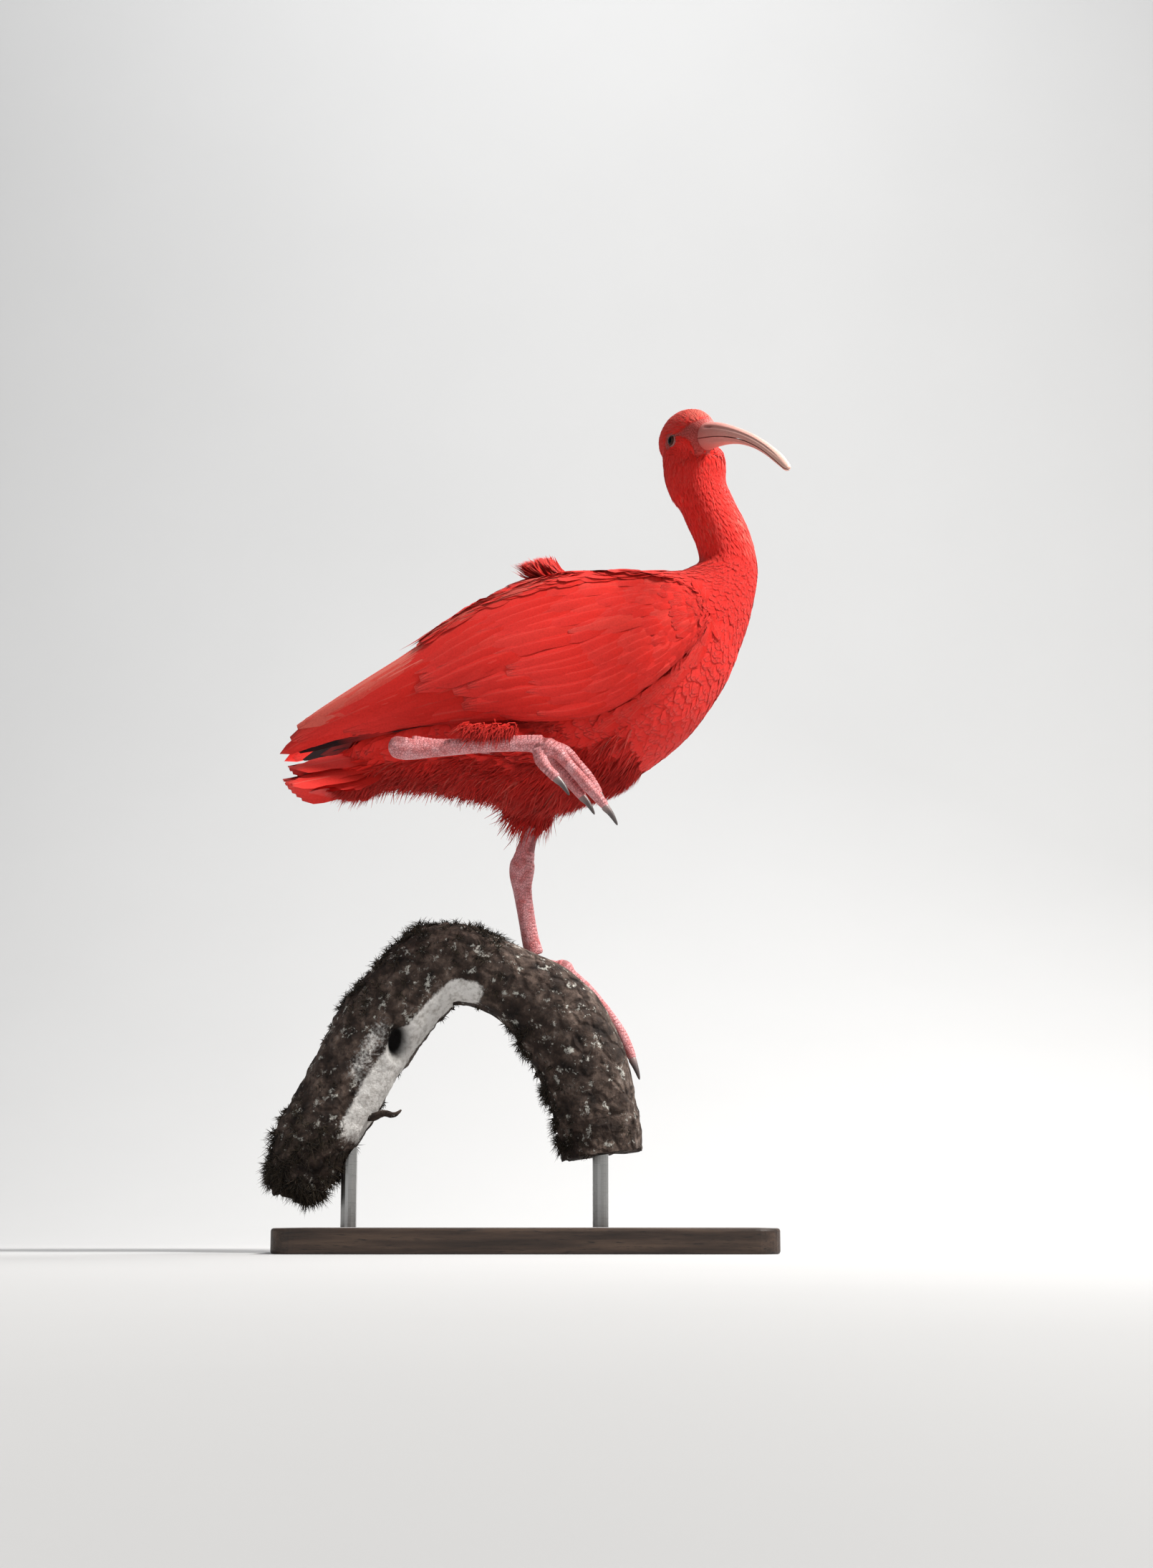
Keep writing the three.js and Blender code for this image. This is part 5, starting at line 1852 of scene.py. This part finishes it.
@dataclass
class Perch:
    """The crooked branch that the bird grips, with its bark, hollow, streak of bare wood and moss."""

    loft: Loft = field(default_factory=lambda: Loft(BOUGH))
    hollow: tuple[float, float, float] = (-80.0, -25.5, 127.0)
    hollow_reach: float = 8.2
    hollow_depth: float = 9.0
    grip: tuple[float, float] = (5.9, 8.4)
    clumps: int = 560
    strands: int = 15

    def build(self, bark: bpy.types.Material, moss: bpy.types.Material) -> None:
        """Builds the bark and the moss.

        Args:
            bark: the finish of the wood.
            moss: the finish of the tufts.
        """
        loft = self.loft
        rows, columns = 420, 190

        def place(along: np.ndarray, round_: np.ndarray) -> np.ndarray:
            """Rolls the grid round the branch."""
            return loft.at(along * loft.last, round_ * 2 * math.pi, -0.6 * MM)

        made = grid_mesh("branch", rows, columns, place)
        points, ways = coordinates(made), normals(made)
        middle = loft.frame(np.linspace(0, loft.last, 300))[0]
        near = np.argmin(((points[:, None, ::2] - middle[None, :, ::2]) ** 2).sum(axis=2), axis=1)
        station = near / 299 * loft.last
        centre, way, side, upward, tall, wide = loft.frame(station)
        off = points - centre
        angle = np.degrees(np.arctan2((off * side).sum(axis=1) / wide, (off * upward).sum(axis=1) / tall)) % 360
        rough = ripple(points, 0.030, 4) * 2.2 + ripple(points + 3.1, 0.009, 3) * 1.3
        first, last = self.grip
        gripped = smooth(first - 0.5, first, station) * (1 - smooth(last, last + 0.5, station))
        bare = self.streak(station, angle)
        calm = 1 - 0.55 * bare
        away = (points - np.array(self.hollow) * MM) * np.array([1.25, 0.45, 0.75])
        pit = np.exp(-(np.linalg.norm(away, axis=1) / (self.hollow_reach * MM)) ** 4)
        shift = (rough * calm * (1 - 0.75 * gripped) - 0.2 * gripped) * MM - pit * self.hollow_depth * MM
        splinters = 0.3 + ripple(points * np.array([1.0, 1.0, 0.25]), 0.006, 2)
        broken = smooth(0.9, 0.1, station)[:, None] * splinters[:, None]
        move_points(made, points + ways * shift[:, None] - way * broken * 5.0 * MM)
        set_attribute(made, "Bare", bare)
        # Painted shade: how far into the hollow the bark turns near black.
        set_attribute(made, "HollowShade", np.clip(pit * 1.4, 0, 1))
        made.data.materials.append(bark)
        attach(made, "root")
        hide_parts("perch_outer", "perch_inner")
        log.info("branch: %d faces", len(made.data.polygons))
        self.tufts(made, moss, station, angle, bare)
        self.twig(bark)

    def twig(self, bark: bpy.types.Material) -> None:
        """The short broken twig on the lower side of the arm."""
        line = ((-104, -6, 84, 3.4, 3.4), (-97, -9, 83, 2.6, 2.6), (-90, -11, 85, 2.2, 2.2),
                (-84, -12, 84, 1.8, 1.8), (-79, -13, 87, 0.7, 0.7))
        loft = Loft(line)
        made = grid_mesh("twig", 40, 16, lambda along, round_: loft.at(along * loft.last, round_ * 2 * math.pi))
        points, ways = coordinates(made), normals(made)
        move_points(made, points + ways * (ripple(points, 0.003, 2) * 0.35 * MM)[:, None])
        set_attribute(made, "Bare", np.full(len(points), 0.1))
        set_attribute(made, "HollowShade", np.zeros(len(points)))
        made.data.materials.append(bark)
        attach(made, "root")

    def streak(self, station: np.ndarray, angle: np.ndarray) -> np.ndarray:
        """Where the wood is bare and weathered: a straight band from the fork down the near arm.

        Args:
            station: places along the branch.
            angle: degrees round it.

        Returns:
            How bare each place is.
        """
        middle = 214 + 10 * smooth(4.6, 5.5, station)
        half = 24 + 8 * smooth(4.2, 2.6, station)
        band = np.exp(-((angle - middle) / half) ** 6)
        run = smooth(1.7, 2.4, station) * (1 - smooth(5.6, 5.95, station))
        fleck = 0.55 * np.exp(-((angle - 262) / 20) ** 2)
        fleck = fleck * smooth(2.6, 3.0, station) * (1 - smooth(3.6, 4.4, station))
        return np.clip(band * run + fleck, 0, 1)

    def tufts(
        self,
        branch: bpy.types.Object,
        finish: bpy.types.Material,
        station: np.ndarray,
        angle: np.ndarray,
        bare: np.ndarray,
    ) -> None:
        """Thick moss at the elbow, on the outer side and at the broken end, thin elsewhere.

        Args:
            branch: the bark it grows on.
            finish: its finish.
            station: places of the bark's points along the branch.
            angle: degrees round it.
            bare: how bare the wood is there.
        """
        draw = np.random.default_rng(SEED + 60)
        points, ways = coordinates(branch), normals(branch)
        swing = np.minimum(angle, 360 - angle)
        lush = np.maximum.reduce([
            smooth(3.3, 4.0, station) * (1 - smooth(5.6, 6.0, station)) * smooth(100, 50, swing),
            smooth(0.2, 0.5, station) * (1 - smooth(1.7, 2.3, station)) * 0.9,
            smooth(6.2, 7.0, station) * (1 - smooth(9.5, 9.9, station)) * smooth(100, 170, swing) * 0.8,
        ])
        lush = lush * (0.35 + 0.65 * smooth(-0.25, 0.25, ripple(points, 0.016, 3)))
        grip = smooth(6.0, 6.3, station) * (1 - smooth(8.3, 8.6, station)) * smooth(120, 90, swing)
        chance = (0.04 + lush) * (1 - bare) * (1 - grip)
        clumps = draw.choice(len(points), self.clumps, replace=False, p=chance / chance.sum())
        chosen = np.repeat(clumps, self.strands)
        out = ways[chosen]
        thick = lush[chosen]
        roots = points[chosen] + draw.normal(0, 1.1 * MM, out.shape)
        roots = roots - out * np.sum((roots - points[chosen]) * out, axis=1, keepdims=True)
        side = unit(np.cross(out, draw.normal(0, 1, out.shape)))
        way = unit(out + draw.uniform(0.1, 1.3, len(out))[:, None] * side)
        along = np.linspace(0, 1, 3)
        across = np.linspace(-1, 1, 3)
        long_ = draw.uniform(1.6, 3.4, len(roots)) * (1 + 1.6 * thick) * MM
        line = roots[:, None] - out[:, None] * 0.5 * MM + way[:, None] * (along[None, :, None] * long_[:, None, None])
        line = line + side[:, None] * (along ** 2)[None, :, None] * (0.4 * long_)[:, None, None]
        line[:, :, 2] -= (along ** 2)[None] * 0.3 * long_[:, None]
        sideways = unit(np.cross(out, way))
        half = Blade.STRAND.widths(along)[None, :, None] * 0.36 * MM * across[None, None, :]
        layer = line[:, :, None] + sideways[:, None, None] * half[..., None]
        outs = np.broadcast_to(unit(np.cross(sideways, way))[:, None, None], layer.shape)
        coat = Coat("moss_tufts")
        spot = np.stack([station[chosen] / self.loft.last, angle[chosen] / 360], axis=1)
        coat.add(layer, outs, 0.4 * MM, draw.uniform(0, 1, len(roots)), spot)
        coat.finish(finish, "bark")


@dataclass(frozen=True)
class StandWood:
    """The finish of the base: dark oiled wood with a fine grain."""

    def build(self) -> bpy.types.Material:
        """The material."""
        shade = Shade("stand_wood", 0.42, 0.0, 0.45)
        stretch = shade.node("ShaderNodeMapping")
        stretch.inputs["Scale"].default_value = (1.0, 14.0, 14.0)
        shade.join(shade.object_place(), stretch.inputs["Vector"])
        grain = shade.noise(14.0, 8.0, 0.6, stretch.outputs["Vector"])
        pore = shade.noise(90.0, 4.0, 0.6, stretch.outputs["Vector"])
        stops = ((0.32, (0.022, 0.013, 0.009)), (0.5, (0.050, 0.030, 0.021)), (0.68, (0.090, 0.056, 0.038)))
        colour = shade.ramp(grain, stops)
        shade.colour(shade.mix(shade.mask(pore, 0.58, 0.70), colour, (0.012, 0.008, 0.006)))
        shade.bump(shade.math("ADD", grain, pore), 0.00015)
        shade.rough(shade.mask(pore, -0.8, 1.8))
        return shade.material


@dataclass(frozen=True)
class RodSteel:
    """The finish of the rods: brushed steel."""

    def build(self) -> bpy.types.Material:
        """The material."""
        shade = Shade("stand_rod", 0.35)
        shade.shader.inputs["Metallic"].default_value = 1.0
        stretch = shade.node("ShaderNodeMapping")
        stretch.inputs["Scale"].default_value = (1.0, 1.0, 60.0)
        shade.join(shade.object_place(), stretch.inputs["Vector"])
        brush = shade.noise(60.0, 4.0, 0.6, stretch.outputs["Vector"])
        shade.colour(shade.mix(brush, (0.42, 0.42, 0.41), (0.60, 0.60, 0.59)))
        shade.rough(shade.mask(brush, -0.6, 2.2))
        shade.bump(brush, 0.00004)
        return shade.material


@dataclass
class Studio:
    """Pale floor and backdrop, soft lights and the camera at the photograph's angle."""

    eye: tuple[float, float, float] = (0.030, -1.5, 0.018)
    target: tuple[float, float, float] = (0.030, 0.0, 0.2957)
    view: float = 2 * math.degrees(math.atan(504.5 / 1525.5))

    def build(self) -> None:
        """Builds the stage."""
        self.sweep()
        self.lamp("key", (1.45, -0.6, 2.1), 0.45, 96.0, (1.0, 0.97, 0.93))
        self.lamp("fill", (-1.4, -1.6, 0.8), 1.3, 4.5, (0.97, 0.98, 1.0))
        self.lamp("rim", (0.8, 0.7, 1.3), 0.5, 13.0, (1.0, 0.98, 0.96))
        self.lamp("wall", (0.0, 0.8, 2.6), 1.6, 30.0, (1.0, 1.0, 1.0), (0.0, 2.4, 1.0))
        world = bpy.data.worlds.new("studio")
        world.use_nodes = True
        world.node_tree.nodes["Background"].inputs["Color"].default_value = (0.92, 0.93, 0.95, 1)
        world.node_tree.nodes["Background"].inputs["Strength"].default_value = 0.20
        bpy.context.scene.world = world
        lens = bpy.data.cameras.new("camera")
        lens.sensor_fit = "VERTICAL"
        lens.angle = math.radians(self.view)
        lens.clip_start = 0.01
        camera = bpy.data.objects.new("camera", lens)
        camera.location = self.eye
        camera.rotation_euler = (Vector(self.target) - Vector(self.eye)).to_track_quat("-Z", "Y").to_euler()
        bpy.context.scene.collection.objects.link(camera)
        bpy.context.scene.camera = camera
        bpy.context.scene.view_settings.view_transform = "Standard"

    def sweep(self) -> None:
        """A floor that bends up into a backdrop."""
        start, radius = 0.6, 1.6
        work = bmesh.new()
        bmesh.ops.create_grid(work, x_segments=2, y_segments=60, size=1.0)
        for vertex in work.verts:
            share = (vertex.co.y + 1) / 2
            vertex.co.x *= 6.0
            run = -3.0 + 9.0 * share
            bend = max(0.0, run - start)
            turn = min(bend / radius, math.pi / 2)
            vertex.co.y = min(run, start) + radius * math.sin(turn)
            vertex.co.z = radius * (1 - math.cos(turn)) + max(0.0, bend - radius * math.pi / 2)
        made = to_object("sweep", work)
        shade = Shade("studio_paper", 0.85, 0.0, 0.2)
        shade.colour(shade.mix(shade.noise(3.0), (0.52, 0.525, 0.53), (0.55, 0.555, 0.56)))
        made.data.materials.append(shade.material)

    def lamp(
        self,
        name: str,
        at: tuple[float, float, float],
        size: float,
        power: float,
        colour: tuple[float, float, float],
        aim: tuple[float, float, float] = (0.0, 0.0, 0.35),
    ) -> None:
        """A soft square light that looks at the bird or the backdrop.

        Args:
            name: its name.
            at: where it stands.
            size: the length of its side.
            power: its power in watts.
            colour: its colour.
            aim: the place it looks at.
        """
        light = bpy.data.lights.new(name, "AREA")
        light.size, light.energy, light.color = size, power, colour
        made = bpy.data.objects.new(name, light)
        made.location = at
        made.rotation_euler = (Vector(aim) - Vector(at)).to_track_quat("-Z", "Y").to_euler()
        bpy.context.scene.collection.objects.link(made)


def polyline(*points: tuple[float, float, float]) -> np.ndarray:
    """Points in metres from points in millimetres."""
    return np.array(points, float) * MM


def toe_on_bough(loft: Loft, *places: tuple[float, float, float]) -> np.ndarray:
    """A toe's line on the branch: stations, degrees round it and lifts in millimetres."""
    return np.array([loft.at(np.array(s), np.array(math.radians(d)), lift * MM) for s, d, lift in places])


def standing_leg(bough: Loft) -> tuple[Path, ...]:
    """The lines of the left shank and its toes, which grip the branch."""
    grip = (6.62, 34, 4.5)
    knuckle = (6.6, 34, 4.5)
    upward, forward = np.array([0.0, 0.0, 1.0]), np.array([1.0, 0.0, 0.0])
    slanting = unit(upward + forward)
    return (
        (polyline((-3, 17, 254), (-5.6, 16, 238), (-2, 14.5, 210), (3, 15.5, 187)), forward),
        (toe_on_bough(bough, grip, (6.95, 34, 3.6), (7.3, 28, 3), (7.7, 16, 2.8), (8.1, 6, 2.6)), slanting),
        (toe_on_bough(bough, grip, (6.9, 46, 3.6), (7.2, 44, 3), (7.5, 34, 2.8), (7.75, 22, 2.6)), slanting),
        (toe_on_bough(bough, knuckle, (6.8, 54, 3.6), (7, 68, 3), (7.2, 80, 2.8), (7.35, 90, 2.6)), upward),
        (toe_on_bough(bough, knuckle, (6.4, 40, 3.6), (6.15, 42, 3), (5.95, 44, 2.4)), upward),
    )


def raised_leg() -> tuple[Path, ...]:
    """The lines of the right shank and its hanging toes."""
    front = unit(np.array([0.7, -0.4, 0.6]))
    back = unit(np.array([-0.7, -0.4, -0.6]))
    return (
        (polyline((-76, -58.5, 307), (-30, -60.5, 309), (9, -61, 309)), np.array([0.0, 0.0, 1.0])),
        (polyline((11, -61, 308), (18, -63, 304), (25, -65, 296), (36, -67, 283), (48, -68, 269)), front),
        (polyline((13, -59, 308), (22, -57, 306), (30, -57, 298), (37, -59, 289), (44, -61, 278)), front),
        (polyline((10, -57, 306), (17, -53, 297), (26, -52, 287), (34, -53, 278)), front),
        (polyline((7, -62, 306), (8, -64, 299), (13, -66, 292), (18, -67, 287)), back),
    )


def main() -> None:
    """Builds the sub-assemblies in order and stages them."""
    logging.basicConfig(level=logging.INFO, format="%(name)s %(message)s")
    barbs = barb_group()
    body_plumage = Plumage("body_plumage").build(barbs)
    wing_plumage = Plumage(
        "wing_plumage", barbs=48.0, relief=0.0001, middle=(0.86, 0.027, 0.019), tip=(0.93, 0.044, 0.036)
    ).build(barbs)
    neck_plumage = Plumage("neck_plumage", barbs=9.0, relief=0.00008, sheen=0.14).build(barbs)
    flesh = Flesh()
    skin = flesh.build(BirdSkin().build())
    wings = [Wing(side, flesh.body) for side in (1, -1)]
    coats = [
        wing.build(f"wing_{name}_feathers", wing_plumage, [f"wing_{name}"])
        for wing, name in zip(wings, ("left", "right"))
    ]
    Plumes(flesh, skin, Skin(skin.piece, coats), flesh.cloak(wings)).build(body_plumage, neck_plumage)
    Tail().build(wing_plumage)
    bill = Bill(flesh.head_matrix())
    horn = Horn().build()
    bill.half("bill_upper_half", horn, True)
    bill.half("bill_lower_half", horn, False)
    gloss, lid_skin = EyeGloss().build(), LidSkin().build()
    for side in (1, -1):
        Eye(side, flesh.head_matrix()).build(gloss, lid_skin)
    perch = Perch()
    leg_skin, claw_horn = LegSkin().build(), ClawHorn().build()
    left_paths, right_paths = standing_leg(perch.loft), raised_leg()
    Leg("left", left_paths).build(leg_skin)
    Leg("right", right_paths).build(leg_skin)
    for name, paths in (("left", left_paths), ("right", right_paths)):
        for i in range(4):
            path = paths[i + 1][0]
            Claw(f"claw_{name}_{i + 1}", unit(path[-1] - path[-2])).build(claw_horn)
    perch.build(Bark().build(), Moss().build())
    wood, steel = StandWood().build(), RodSteel().build()
    for node, finish in (("stand_base", wood), ("stand_rod_outer", steel), ("stand_rod_inner", steel)):
        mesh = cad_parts[node].data
        mesh.materials.clear()
        mesh.materials.append(finish)
    Studio().build()


if __name__ == "__main__":
    main()
